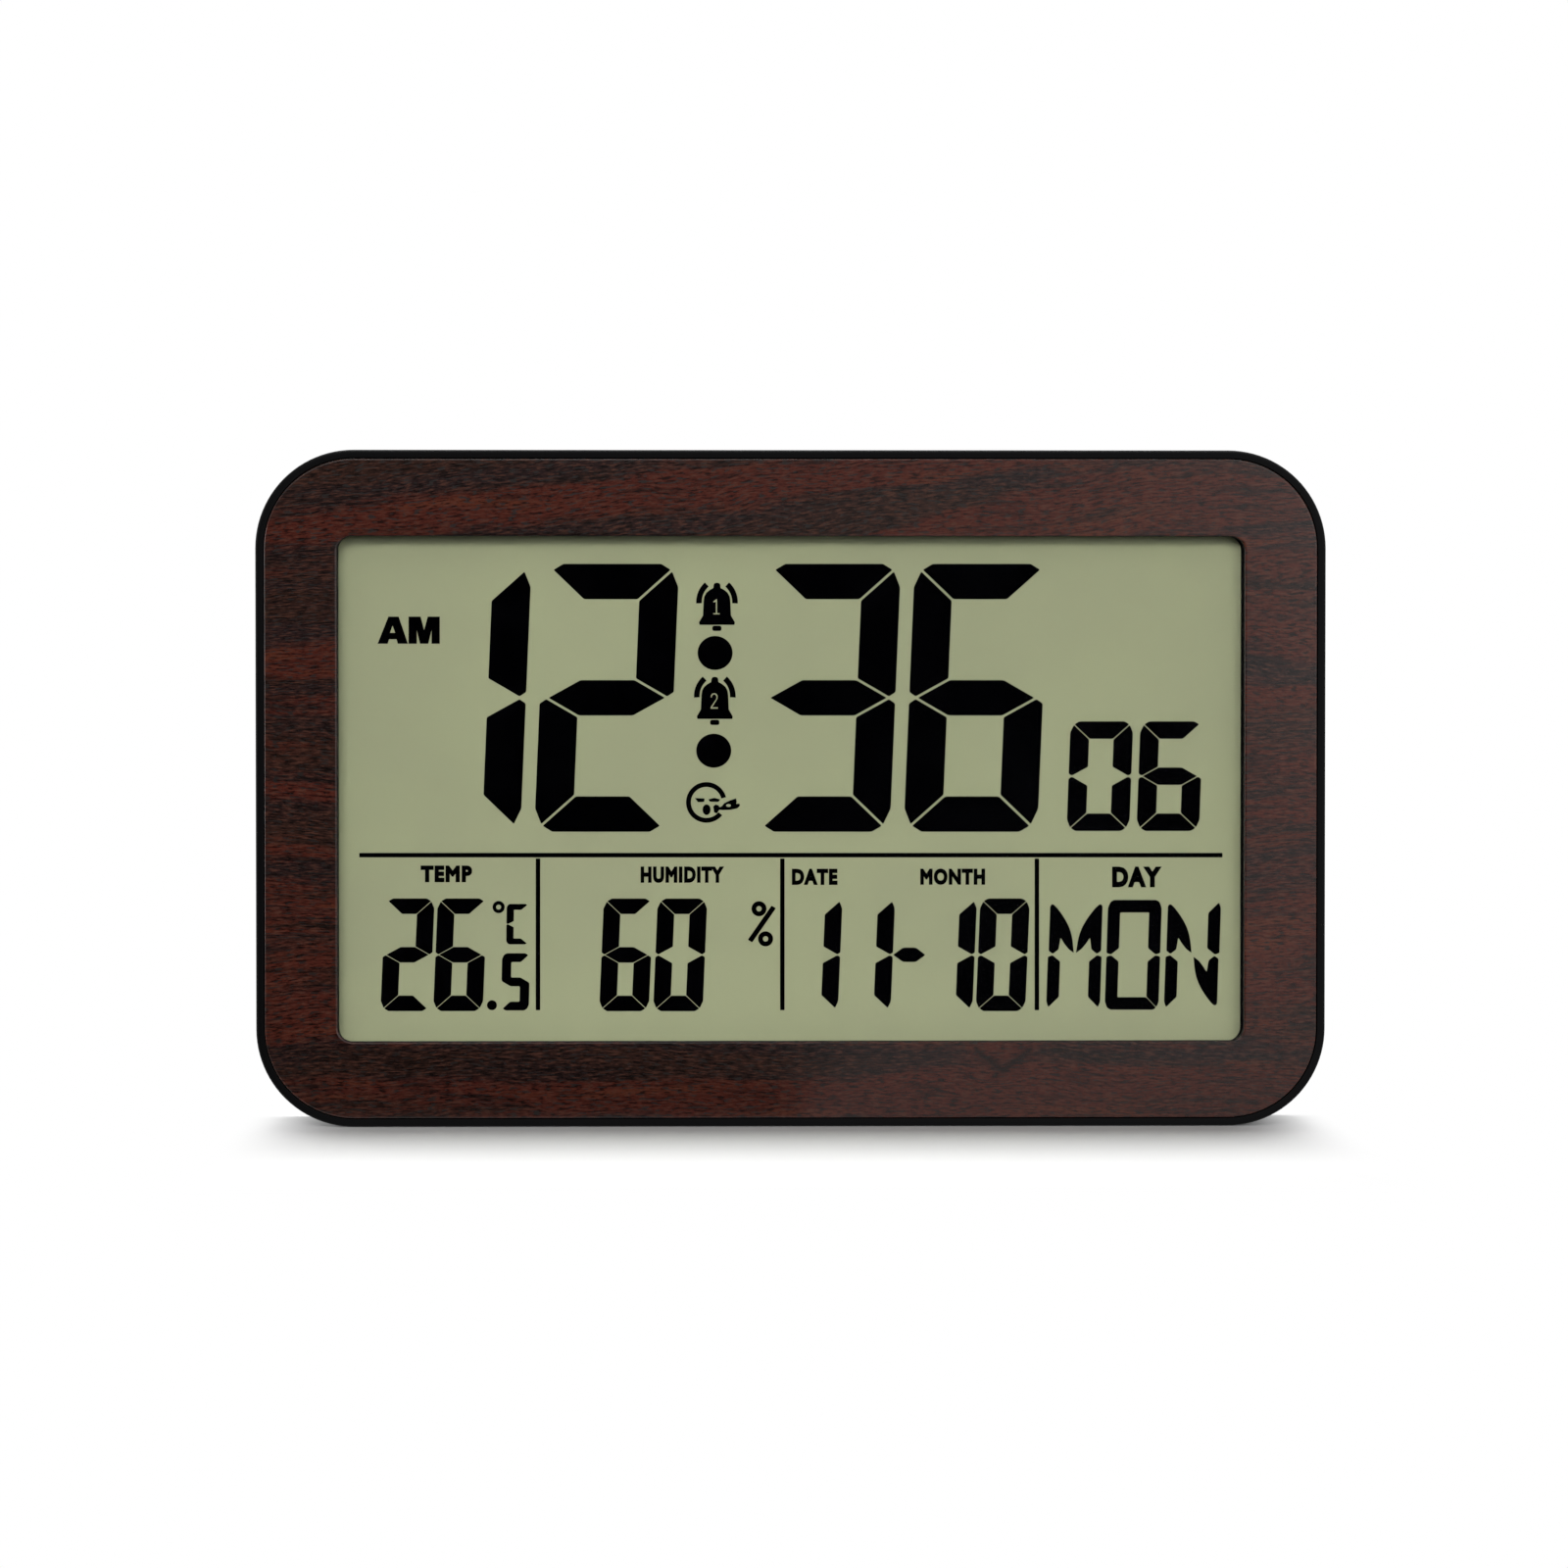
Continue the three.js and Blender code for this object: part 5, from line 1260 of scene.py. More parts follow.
class Ink:
    """Dark shapes of the display, drawn in the photograph's pixels and laid on the polariser.

    Every shape spreads a little, because soft edges against a pale field look thinner than they are.
    """

    THICKNESS = 0.03
    SPREAD = 0.4
    WEIGHT = 0.065

    def __init__(self) -> None:
        """Starts with no shape."""
        self.form = Form()
        self.letters = bmesh.new()

    def outline(self, points: Iterable[Point], soft: float = 0.0) -> bmesh.types.BMFace:
        """Draws one filled outline.

        Args:
            points: Its corners as pixels.
            soft: How much its corners are rounded.

        Returns:
            The face.
        """
        face = self.form.sheet([(x, 0, y) for x, y in points])
        self.shrink([face], -self.SPREAD)
        if soft:
            self.soften([face], soft)
        return face

    def shrink(self, faces: list[bmesh.types.BMFace], by: float) -> None:
        """Draws the rims of faces in, or out where the amount is below 0.

        Args:
            faces: The faces.
            by: How far, in pixels.
        """
        bm = self.form.bm
        bm.normal_update()
        rims = bmesh.ops.inset_individual(bm, faces=faces, thickness=by, use_even_offset=True)
        bmesh.ops.delete(bm, geom=rims["faces"], context="FACES")

    def soften(self, faces: Iterable[bmesh.types.BMFace], soft: float) -> None:
        """Rounds the corners of faces a little.

        Args:
            faces: The faces.
            soft: How far from its point each corner is cut.
        """
        verts = list({v for f in faces for v in f.verts})
        bmesh.ops.bevel(
            self.form.bm, geom=verts, offset=soft, offset_type="OFFSET", segments=3, profile=0.5,
            affect="VERTICES", clamp_overlap=True, material=-1,
        )

    def figure(self, text: str, left: float, bottom: float, cell: Cell) -> None:
        """Draws one figure of segments.

        Args:
            text: The figure.
            left: The column of its lower left corner.
            bottom: The row of its lower edge.
            cell: Its proportions.
        """
        bm = self.form.bm
        made = []
        for group in FIGURES[text]:
            faces = []
            for segment in group:
                points = cell.tile(segment)
                place = [(left + x + cell.lean * (cell.height - y), 0, bottom - cell.height + y) for x, y in points]
                faces.append(self.form.sheet(place))
            if len(faces) > 1:
                bmesh.ops.remove_doubles(bm, verts=list({v for f in faces for v in f.verts}), dist=MERGE)
                faces = bmesh.ops.dissolve_faces(bm, faces=faces, use_verts=False)["region"]
            made += faces
        self.shrink(made, cell.gap / 2 - self.SPREAD)
        self.soften(made, cell.soft)

    def disc(self, x: float, y: float, radius: float, height: float = 0.0, hollow: float = 0.0) -> None:
        """Draws a dot, an oval or a ring.

        Args:
            x: The centre's column.
            y: The centre's row.
            radius: Half the width.
            height: Half the height, where it isn't the same.
            hollow: The radius of the ring's hole.
        """
        bm = self.form.bm
        turn = Matrix.Rotation(math.pi / 2, 4, "X")
        lift = Matrix.Diagonal((1, 1, (height or radius) / radius, 1))
        radius += self.SPREAD
        place = Matrix.Translation((x, 0, y)) @ lift @ turn
        outer = bmesh.ops.create_circle(bm, cap_ends=not hollow, radius=radius, segments=40, matrix=place)
        if hollow:
            clear = hollow - self.SPREAD
            inner = bmesh.ops.create_circle(bm, cap_ends=False, radius=clear, segments=40, matrix=place)
            edges = {e for ring in (outer, inner) for v in ring["verts"] for e in v.link_edges}
            bmesh.ops.bridge_loops(bm, edges=list(edges))

    def arc(self, x: float, y: float, radius: float, width: float, start: float, end: float, steps: int = 36) -> None:
        """Draws a stroke along an arc, in degrees from the right and upwards.

        Args:
            x: The centre's column.
            y: The centre's row.
            radius: The radius of the stroke's middle line.
            width: The stroke's width.
            start: The angle that it starts at.
            end: The angle that it ends at.
            steps: The number of its parts.
        """
        bm = self.form.bm
        a, b = math.radians(start), math.radians(end)
        ends = [
            bm.verts.new((x + reach * math.cos(a), 0, y - reach * math.sin(a)))
            for reach in (radius - width / 2 - self.SPREAD, radius + width / 2 + self.SPREAD)
        ]
        edge = bm.edges.new(ends)
        bmesh.ops.spin(
            bm, geom=[*ends, edge], cent=(x, 0, y), axis=(0, 1, 0), dvec=(0, 0, 0), angle=b - a,
            steps=steps, use_merge=False, use_duplicate=False,
        )

    def words(self, text: str, left: float, top: float, right: float, bottom: float) -> None:
        """Sets words in the plain built-in letters, drawn out to fill a box of pixels.

        Args:
            text: The words.
            left: The box's first column.
            top: The box's first row.
            right: The box's last column.
            bottom: The box's last row.
        """
        letters = lettering(text, self.WEIGHT)
        low, high = extent(letters)
        wide, tall = (right - left) / (high.x - low.x), (bottom - top) / (low.y - high.y)
        scale = Matrix.Diagonal((wide, tall, 0.5 / self.WEIGHT, 1))
        letters.transform(Matrix.Translation((left, bottom, 0.5)) @ scale @ Matrix.Translation((-low.x, -low.y, 0)))
        letters.transform(Matrix(((1, 0, 0, 0), (0, 0, 1, 0), (0, 1, 0, 0), (0, 0, 0, 1))))
        absorb(self.letters, letters)

    def lay(self, name: str) -> None:
        """Lays the shapes on the polariser as one thin piece.

        Args:
            name: The piece's name.
        """
        self.form.thicken(list(self.form.bm.faces), 1)
        absorb(self.form.bm, self.letters)
        depth = Span.of("front_polariser").front
        for v in self.form.bm.verts:
            v.co = view.onto(v.co.x, v.co.z, depth - self.THICKNESS * v.co.y)
        self.form.finish(name, "case", Slot.FILM, paints.special("segment_ink", SegmentInk()))


def lettering(text: str, weight: float) -> bmesh.types.BMesh:
    """Plain letters on x and y, one unit to the line, with a rim that makes them bolder.

    Args:
        text: The words.
        weight: The width of the rim, which is also half their thickness.

    Returns:
        The mesh.
    """
    curve = bpy.data.curves.new("letters", "FONT")
    curve.body = text
    curve.bevel_depth = weight
    curve.space_character = 1 + weight * LETTER_GAP
    curve.bevel_resolution = 0
    curve.resolution_u = 4
    holder = bpy.data.objects.new("letters", curve)
    mesh = bpy.data.meshes.new_from_object(holder)
    made = bmesh.new()
    made.from_mesh(mesh)
    bmesh.ops.remove_doubles(made, verts=made.verts, dist=MERGE)
    bpy.data.objects.remove(holder)
    bpy.data.curves.remove(curve)
    bpy.data.meshes.remove(mesh)
    return made


def extent(bm: bmesh.types.BMesh) -> tuple[Vector, Vector]:
    """The lowest and highest corners of a mesh in the making."""
    columns = [[v.co[axis] for v in bm.verts] for axis in range(3)]
    return Vector(min(c) for c in columns), Vector(max(c) for c in columns)


def absorb(target: bmesh.types.BMesh, extra: bmesh.types.BMesh) -> None:
    """Adds one mesh in the making to another."""
    passed = bpy.data.meshes.new("passed")
    extra.to_mesh(passed)
    extra.free()
    target.from_mesh(passed)
    bpy.data.meshes.remove(passed)


@dataclass
class Display:
    """What the display shows: the time, two alarms, a snooze sign and the readings in the lower row."""

    main: Cell = Cell(135.7, 272.5, 38.4, 35.2, 3.2, soft=1.2)
    seconds: Cell = Cell(63.2, 111.0, 18.7, 17.0, 1.7, 0.037, soft=0.9)
    reading: Cell = Cell(49.8, 114.1, 16.7, 15.0, 1.5, soft=0.7)
    tenths: Cell = Cell(27.6, 57.6, 8.8, 8.2, 0.1, 0.02, soft=1.2)
    unit: Cell = Cell(21.6, 40.4, 6.6, 5.2, 0.9, 0.015, soft=0.5)
    letter_brace: tuple[Point, ...] = (
        (0, 6.2), (1.2, 4.2), (3.1, 3.4), (7.4, 7.2), (12.1, 13.1), (16.8, 20.0), (20.5, 26.9), (23.0, 33.6),
        (24.6, 40.6), (26.4, 54.4), (20.1, 49.8), (15.6, 44.2), (12.2, 39.0), (10.6, 50.2), (4.6, 55.0), (0, 51.6),
    )
    letter: Cell = field(init=False)
    numerals: dict[str, tuple[Point, ...]] = field(init=False)
    bell_tops: tuple[Point, ...] = ((731.6, 595.0), (729.4, 691.0))
    ring_strokes: tuple[float, float, float] = (24.2, 5.8, 19.4)
    ring_width: float = 5.0
    dots: tuple[Point, ...] = ((729.7, 666.3), (728.3, 766.0))
    dot_radius: float = 17.5
    snooze: Point = (720.8, 818.8)
    rule_row: float = 872.6
    rule_ends: Point = (367.0, 1247.0)
    dividers: tuple[float, ...] = (549.0, 798.3, 1058.0)
    divider_ends: Point = (876.4, 1030.4)
    rule_width: float = 3.8

    def __post_init__(self) -> None:
        """Works out the letters' cell from their brace."""
        self.letter = Cell(54.1, 111.2, 11.9, 12.0, 1.4, 0.033, 0.42, 1.0, self.letter_brace)
        one = (
            (-3.2, 16.3), (-3.2, 15.1), (-0.5, 15.1), (-0.5, 3.3), (-3.0, 4.3), (-3.0, 3.1), (-0.1, 0.8),
            (0.7, 0.8), (0.7, 15.1), (3.4, 15.1), (3.4, 16.3),
        )
        two = (
            (-3.7, 16.5), (-3.7, 15.1), (2.0, 6.6), (2.4, 4.4), (0.9, 2.0), (-0.9, 2.0), (-2.4, 3.8), (-2.4, 5.0),
            (-3.6, 5.0), (-3.6, 3.3), (-2.1, 1.2), (0.3, 0.7), (2.4, 1.4), (3.5, 3.3), (3.3, 6.4), (-2.1, 15.1),
            (3.8, 15.1), (3.8, 16.5),
        )
        self.numerals = {"1": one, "2": two}

    def build(self) -> None:
        """Lays every group of shapes on the polariser."""
        self.time()
        self.alarm_signs()
        self.snooze_sign()
        self.rules()
        self.readings()
        self.labels()

    def time(self) -> None:
        """The hours, minutes and seconds, and the mark for the morning."""
        ink = Ink()
        for text, left in (("1", 394.9), ("2", 545.5), ("3", 771.8), ("6", 922.4)):
            ink.figure(text, left, 848.3, self.main)
        ink.lay("hours_and_minutes")
        ink = Ink()
        for text, left in (("0", 1088.7), ("6", 1160.0)):
            ink.figure(text, left, 847.5, self.seconds)
        ink.lay("seconds")
        ink = Ink()
        a, m, top, tall = 385.9, 417.3, 629.6, 26.9
        stroke_a = [(0, 1), (10.7, 0), (20.6, 0), (29.8, 1), (20.4, 1), (18.9, 0.83), (10.9, 0.83), (9.4, 1)]
        stroke_m = [
            (0, 0), (11.6, 0), (15.5, 0.55), (19.5, 0), (31.1, 0), (31.1, 1), (23.5, 1), (23.5, 0.38),
            (19.4, 1), (11.7, 1), (7.6, 0.38), (7.6, 1), (0, 1),
        ]
        letter = ink.outline([(a + x, top + y * tall) for x, y in stroke_a])
        hole = [(14.7, 0.33), (17.3, 0.6), (12.1, 0.6)]
        self.pierce(ink, letter, [[(a + x, top + y * tall) for x, y in hole]])
        ink.outline([(m + x, top + y * tall) for x, y in stroke_m])
        ink.lay("morning_mark")

    @staticmethod
    def pierce(ink: Ink, face: bmesh.types.BMFace, holes: Sequence[Sequence[Point]]) -> None:
        """Fills a face again round holes in it.

        Args:
            ink: The shapes that the face is one of.
            face: The face.
            holes: The outlines of the holes.
        """
        bm = ink.form.bm
        edges = list(face.edges)
        bm.faces.remove(face)
        for hole in holes:
            verts = [bm.verts.new((x, 0, y)) for x, y in hole]
            edges += [bm.edges.new(pair) for pair in zip(verts, verts[1:] + verts[:1])]
        bmesh.ops.triangle_fill(bm, edges=edges, use_beauty=True, normal=(0, 1, 0))

    def bell(self, ink: Ink, x: float, top: float, text: str) -> None:
        """One alarm sign: a bell with its number left clear, its clapper and two strokes beside it.

        Args:
            ink: The shapes that it is drawn with.
            x: The bell's middle column.
            top: Its first row.
            text: Its number.
        """
        half = [
            (0, 0), (2.0, 0.4), (3.0, 1.8), (3.3, 5.2), (7.4, 7.4), (10.6, 10.2), (12.5, 13.6), (13.2, 18.0),
            (13.5, 24.0), (13.9, 33.2), (17.9, 40.0), (17.5, 42.2), (0, 42.2),
        ]
        right = [(x + dx, top + dy) for dx, dy in half]
        left = [(x - dx, top + dy) for dx, dy in reversed(half[1:-1])]
        face = ink.outline(right[:-1] + left)
        self.pierce(ink, face, [[(x - 0.6 + dx, top + 15.6 + dy) for dx, dy in self.numerals[text]]])
        clapper = [(-4.4, 43.9), (4.2, 43.9), (4.2, 48.4), (-4.4, 48.4)]
        ink.outline([(x + dx, top + dy) for dx, dy in clapper], 1.9)
        reach, out, down = self.ring_strokes
        ink.arc(x + out, top + down, reach, self.ring_width, 132, 183, 10)
        ink.arc(x - out, top + down, reach, self.ring_width, -3, 48, 10)

    def alarm_signs(self) -> None:
        """The two bells and the two dots of the colon."""
        ink = Ink()
        for (x, top), text in zip(self.bell_tops, "12"):
            self.bell(ink, x, top, text)
        ink.lay("alarm_signs")
        ink = Ink()
        for x, y in self.dots:
            ink.disc(x, y, self.dot_radius, self.dot_radius * 0.97)
        ink.lay("colon")

    def snooze_sign(self) -> None:
        """A plain sleepy face with a hand at its mouth."""
        x, y = self.snooze
        ink = Ink()
        ink.arc(x, y, 18.3, 4.2, 15, 321)
        for eyelid in (
            [(-11, -4.0), (-2.2, -3.7), (-2.6, -1.0), (-8.4, -0.7)],
            [(2.6, -2.9), (8.2, -4.2), (13.6, -2.9), (12.2, -1.0), (3.8, -1.1)],
        ):
            ink.outline([(x + dx, y + dy) for dx, dy in eyelid], 0.6)
        ink.disc(x + 0.2, y + 7.4, 3.7, 4.9)
        hand = [
            (7.4, 4.2), (9.6, 2.6), (12, 3.3), (13.4, 5.2), (15.6, 4.6), (18.4, 1.2), (24, -1.6), (30, -3.6),
            (30.6, -0.4), (29.4, 1.8), (33.4, 1.6), (33.9, 3.2), (31.4, 5.6), (24, 7.2), (16, 7.4), (13.2, 7),
            (10.4, 10.8), (8.2, 9.8),
        ]
        face = ink.outline([(x + dx, y + dy) for dx, dy in hand])
        hole = [(2.5 * math.cos(a), 1.5 * math.sin(a)) for a in (i * math.tau / 14 for i in range(14))]
        self.pierce(ink, face, [[(x + 22.6 + dx, y + 3.1 + dy) for dx, dy in hole]])
        ink.lay("snooze_sign")

    def rules(self) -> None:
        """The level rule and the three upright ones."""
        ink = Ink()
        half = self.rule_width / 2
        (left, right), row = self.rule_ends, self.rule_row
        ink.outline([(left, row - half), (right, row - half), (right, row + half), (left, row + half)], 0.7)
        high, low = self.divider_ends
        for x in self.dividers:
            ink.outline([(x - half, high), (x + half, high), (x + half, low), (x - half, low)], 0.7)
        ink.lay("rules")

    def readings(self) -> None:
        """The temperature, the humidity, the date and the day."""
        ink = Ink()
        for text, left in (("2", 388.6), ("6", 442.4)):
            ink.figure(text, left, 1031.3, self.reading)
        ink.figure("5", 511.6, 1030.7, self.tenths)
        ink.figure("C", 516.9, 963.2, self.unit)
        ink.disc(502.0, 1025.7, 4.7)
        ink.disc(508.8, 925.6, 5.8, 0, 2.9)
        ink.lay("temperature")
        ink = Ink()
        for text, left in (("6", 611.8), ("0", 666.8)):
            ink.figure(text, left, 1031.4, self.reading)
        for x, y in ((774.5, 927.3), (781.2, 958.0)):
            ink.disc(x, y, 7.3, 0, 3.1)
        ink.outline([(787.4, 924.6), (791.2, 926.9), (767.4, 961.1), (763.6, 958.8)], 0.9)
        ink.lay("humidity")
        ink = Ink()
        for text, left in (("1", 804.8), ("1", 858.5), ("1", 942.0), ("0", 995.9)):
            ink.figure(text, left, 1031.3, self.reading)
        dash = [(911.9, 974.4), (921.6, 967.3), (934.4, 967.3), (943.7, 974.4), (934.4, 981.2), (921.6, 981.2)]
        ink.outline(dash, 1.2)
        ink.lay("date")
        ink = Ink()
        for text, left in (("M", 1067.8), ("O", 1127.5), ("N", 1187.9)):
            ink.figure(text, left, 1029.9, self.letter)
        ink.lay("weekday")

    def labels(self) -> None:
        """The plain words over the readings."""
        ink = Ink()
        ink.words("TEMP", 429.2, 883.2, 481.8, 900.2)
        ink.words("HUMIDITY", 653.7, 884.2, 738.9, 901.0)
        ink.words("DATE", 808.0, 886.4, 854.6, 903.0)
        ink.words("MONTH", 939.0, 886.2, 1005.2, 903.0)
        ink.words("DAY", 1134.8, 884.2, 1185.4, 905.4)
        ink.lay("labels")


@dataclass
class Cells:
    """The two cells, each with its steel ends and its printed sleeve."""

    edge: float = 0.55
    nub: float = 2.75
    nub_length: float = 1.5
    shoulder: float = 6.3
    sides: int = 64

    def build(self) -> None:
        """Spins both cells."""
        for name, facing in (("upper_cell", 1), ("lower_cell", -1)):
            self.cell(name, facing)

    def cell(self, name: str, facing: int) -> None:
        """Spins one cell.

        Args:
            name: Its CAD node.
            facing: 1 where its raised end points to the right as seen from the front, or -1.
        """
        box = Span.of(name)
        radius = (box.high - box.low) / 2
        length = box.right - box.left
        rim = length - self.nub_length
        profile = [
            (0, 0.28), (4.4, 0.28), (4.9, 0.0), (self.shoulder - 0.3, 0.0), (self.shoulder, 0.22),
            (self.shoulder + 0.2, 0.22), (radius - 0.25, 0.12), (radius - 0.06, 0.28), (radius, self.edge),
            (radius, rim - self.edge), (radius - 0.06, rim - 0.28), (radius - 0.25, rim - 0.1),
            (self.shoulder, rim - 0.02), (self.shoulder - 0.25, rim - 0.5), (self.nub + 1.3, rim - 0.5),
            (self.nub + 0.5, rim - 0.15), (self.nub + 0.12, rim + 0.1), (self.nub, rim + 0.4),
            (self.nub, length - 0.35), (self.nub - 0.12, length - 0.1), (self.nub - 0.4, length), (0, length),
        ]
        form = Form()
        start = box.left if facing > 0 else box.right
        hub = (start, box.middle.y, box.middle.z)
        form.turned([(r, x * facing) for r, x in profile], hub, Axis.ACROSS, self.sides)
        tip = box.right if facing > 0 else box.left
        finish = CellJacket(raised=tip * MM, facing=facing, length=length * MM)
        form.finish(name + "_dressed", "case", Slot.JACKET, paints.special(f"{name}_sleeve", finish), name, angle=40)


@dataclass
class Contacts:
    """The battery contacts: sprung plates, each with its cone spring, its dimple or both."""

    thickness: float = 0.5
    rise: float = 12.0
    corner: float = 1.2
    turns: int = 4
    base: float = 3.5
    tip: float = 2.4
    wire: float = 0.35
    reach: float = 5.5
    dimple: float = 2.0
    dimple_height: float = 1.0
    tab_width: float = 3.0
    width: float = 10.0
    steps: int = 28

    def build(self) -> None:
        """Makes the three contacts."""
        upper, lower = Span.of("upper_cell").middle, Span.of("lower_cell").middle
        bridge = Span.of("bridge_contact")
        form = Form()
        self.plate(form, bridge.left, bridge.low, bridge.high, bridge.front)
        face = bridge.left + self.thickness
        self.spring(form, face, upper, 1)
        self.bump(form, face, lower, 1)
        self.place(form, "bridge_contact", "bridge_plate")
        for node, name, cell in (
            ("negative_contact", "sprung_plate", lower), ("positive_contact", "dimpled_plate", upper)
        ):
            form = Form()
            face = -bridge.left - self.thickness
            half = self.width / 2
            self.plate(form, face, cell.z - half, cell.z + half, bridge.front)
            self.tab(form, Span.of(node), face, cell)
            if node == "negative_contact":
                self.spring(form, face, cell, -1)
            else:
                self.bump(form, face, cell, -1)
            self.place(form, node, name)

    def place(self, form: Form, node: str, name: str) -> None:
        """Finishes one contact in place of its node.

        Args:
            form: The contact.
            node: Its CAD node.
            name: The piece's name.
        """
        even_normals(form.finish(name, "case", Slot.CONTACT, paints.of(Slot.CONTACT), node))

    def plate(self, form: Form, left: float, low: float, high: float, front: float) -> None:
        """Adds a plate with round corners.

        Args:
            form: The contact.
            left: The plate's left face.
            low: Its lower edge.
            high: Its upper edge.
            front: Its front edge.
        """
        form.block((left, front, low), (left + self.thickness, front + self.rise, high), self.corner, 0, 6)

    def bump(self, form: Form, face: float, cell: Vector, way: int) -> None:
        """Adds the pressed dimple that meets a raised end.

        Args:
            form: The contact.
            face: The plate's face towards the cell.
            cell: The cell's middle.
            way: 1 where the cell lies to the right, or -1.
        """
        r, h = self.dimple, self.dimple_height
        profile = [
            (r + 0.5, -0.2), (r + 0.35, 0.05), (r, 0.2), (r * 0.85, h * 0.6), (r * 0.62, h * 0.9),
            (r * 0.4, h), (0, h),
        ]
        form.turned([(radius, x * way) for radius, x in profile], (face, cell.y, cell.z), Axis.ACROSS, 28)

    def spring(self, form: Form, face: float, cell: Vector, way: int) -> None:
        """Winds the cone spring from its wide turn on the plate to its narrow end.

        Args:
            form: The contact.
            face: The plate's face towards the cell.
            cell: The cell's middle.
            way: 1 where the cell lies to the right, or -1.
        """
        count = self.turns * self.steps
        points = []
        for i in range(count + 1):
            share = i / count
            angle = share * self.turns * math.tau
            radius = self.base + (self.tip - self.base) * share
            along = share * (self.reach - 2 * self.wire) + self.wire * 0.6
            y, z = radius * math.cos(angle), radius * math.sin(angle)
            points.append(Vector((face + way * along, cell.y + y, cell.z + z)))
        form.wire(points, self.wire, 3)

    def tab(self, form: Form, box: Span, face: float, cell: Vector) -> None:
        """Adds the tab that passes through the bay's wall, where the lead is soldered.

        Args:
            form: The contact.
            box: The node's box, whose right side the tab reaches.
            face: The plate's face towards the cell.
            cell: The cell's middle.
        """
        half = self.tab_width / 2
        depth = Span.of("battery_lead_red").back
        low = (face + self.thickness / 2, depth, cell.z - half)
        high = (box.right, depth + self.thickness, cell.z + half)
        form.block(low, high, 0.6, 1)
        solder = [(0, -0.9), (0.5, -0.8), (0.9, -0.35), (1.15, 0.1)]
        form.turned(solder, (box.right - 1.3, depth, cell.z), Axis.DEPTH, 20)


@dataclass
class Keys:
    """The six setting keys, with the plain words that are printed beside them."""

    length: float = 10.0
    height: float = 6.0
    corner: float = 2.8
    crown: float = 0.5
    dish: float = 0.18
    rim: float = 1.2
    dish_rim: float = 0.7
    flange: float = 1.0
    flange_depth: float = 0.85
    flange_below: float = 1.7
    stem: float = 1.8
    stem_round: float = 0.15
    stem_sink: float = 0.4
    words: tuple[str, ...] = ("MODE", "ALARM", "UP", "DOWN", "°C/°F", "SNOOZE")
    names: tuple[str, ...] = ("mode", "alarm", "up", "down", "unit", "snooze")

    def build(self) -> None:
        """Models every key."""
        for name in self.names:
            self.key(name)

    def key(self, name: str) -> None:
        """Models one key: its dished cap, its flange and its stem.

        Args:
            name: The key's name.
        """
        box = Span.of(f"{name}_button")
        x, z = box.middle.x, box.middle.z
        cap = Outline(self.length / 2, z - self.height / 2, z + self.height / 2, self.corner, 10, x)
        skirt = cap.grown(self.flange)
        back = box.back
        flange = Span.of("rear_cover").back - self.flange_below
        form = Form()
        top = form.loop(cap, back)
        foot = form.loop(cap, flange)
        ledge = form.loop(skirt, flange)
        under = form.loop(skirt, flange - self.flange_depth)
        inner = form.loop(cap.grown(-self.rim), back)
        dish = form.loop(cap.grown(-self.rim - self.dish_rim), back - self.dish)
        form.cap(dish, under)
        form.bridge(dish, inner, top, foot, ledge, under)
        form.soften(top, self.crown, 5)
        foot, stem_top = box.front + self.stem_round, flange - self.stem_sink
        stem = [
            (0, box.front), (self.stem - self.stem_round, box.front), (self.stem, foot), (self.stem, stem_top),
            (0, stem_top),
        ]
        form.turned(stem, (x, 0, z), Axis.DEPTH, 28)
        even_normals(form.finish(f"{name}_cap", f"{name}_key", Slot.COVER, paints.of(Slot.COVER), f"{name}_button"))


class Wiring:
    """The leads and the ribbon between the boards, with round sheaths."""

    LEADS = (
        ("battery_lead_red", "red_lead", Slot.RED), ("battery_lead_black", "black_lead", Slot.BLACK),
        ("sensor_lead", "sensor_wire", Slot.GREY), ("sounder_lead", "sounder_wire", Slot.GREY),
        ("ribbon_cable", "key_ribbon", Slot.GREY),
    )

    def build(self) -> None:
        """Dresses every lead."""
        for node, name, slot in self.LEADS:
            smooth_copy(node, name, slot)


class Inside:
    """The moulded and cut pieces inside that keep their form, with softened edges."""

    PIECES = (
        ("display_holder", "display_tray", Slot.WHITE, 0.12), ("main_board", "board", Slot.BOARD, 0.05),
        ("chip_cover", "chip", Slot.RESIN, 0.2), ("key_board", "key_circuit", Slot.BOARD, 0.05),
        ("sensor_board", "sensor_circuit", Slot.BOARD, 0.05), ("humidity_sensor", "sensor_housing", Slot.WHITE, 0.15),
    )

    def build(self) -> None:
        """Dresses every piece."""
        for node, name, slot, edge in self.PIECES:
            rounded_copy(node, name, "case", slot, edge)


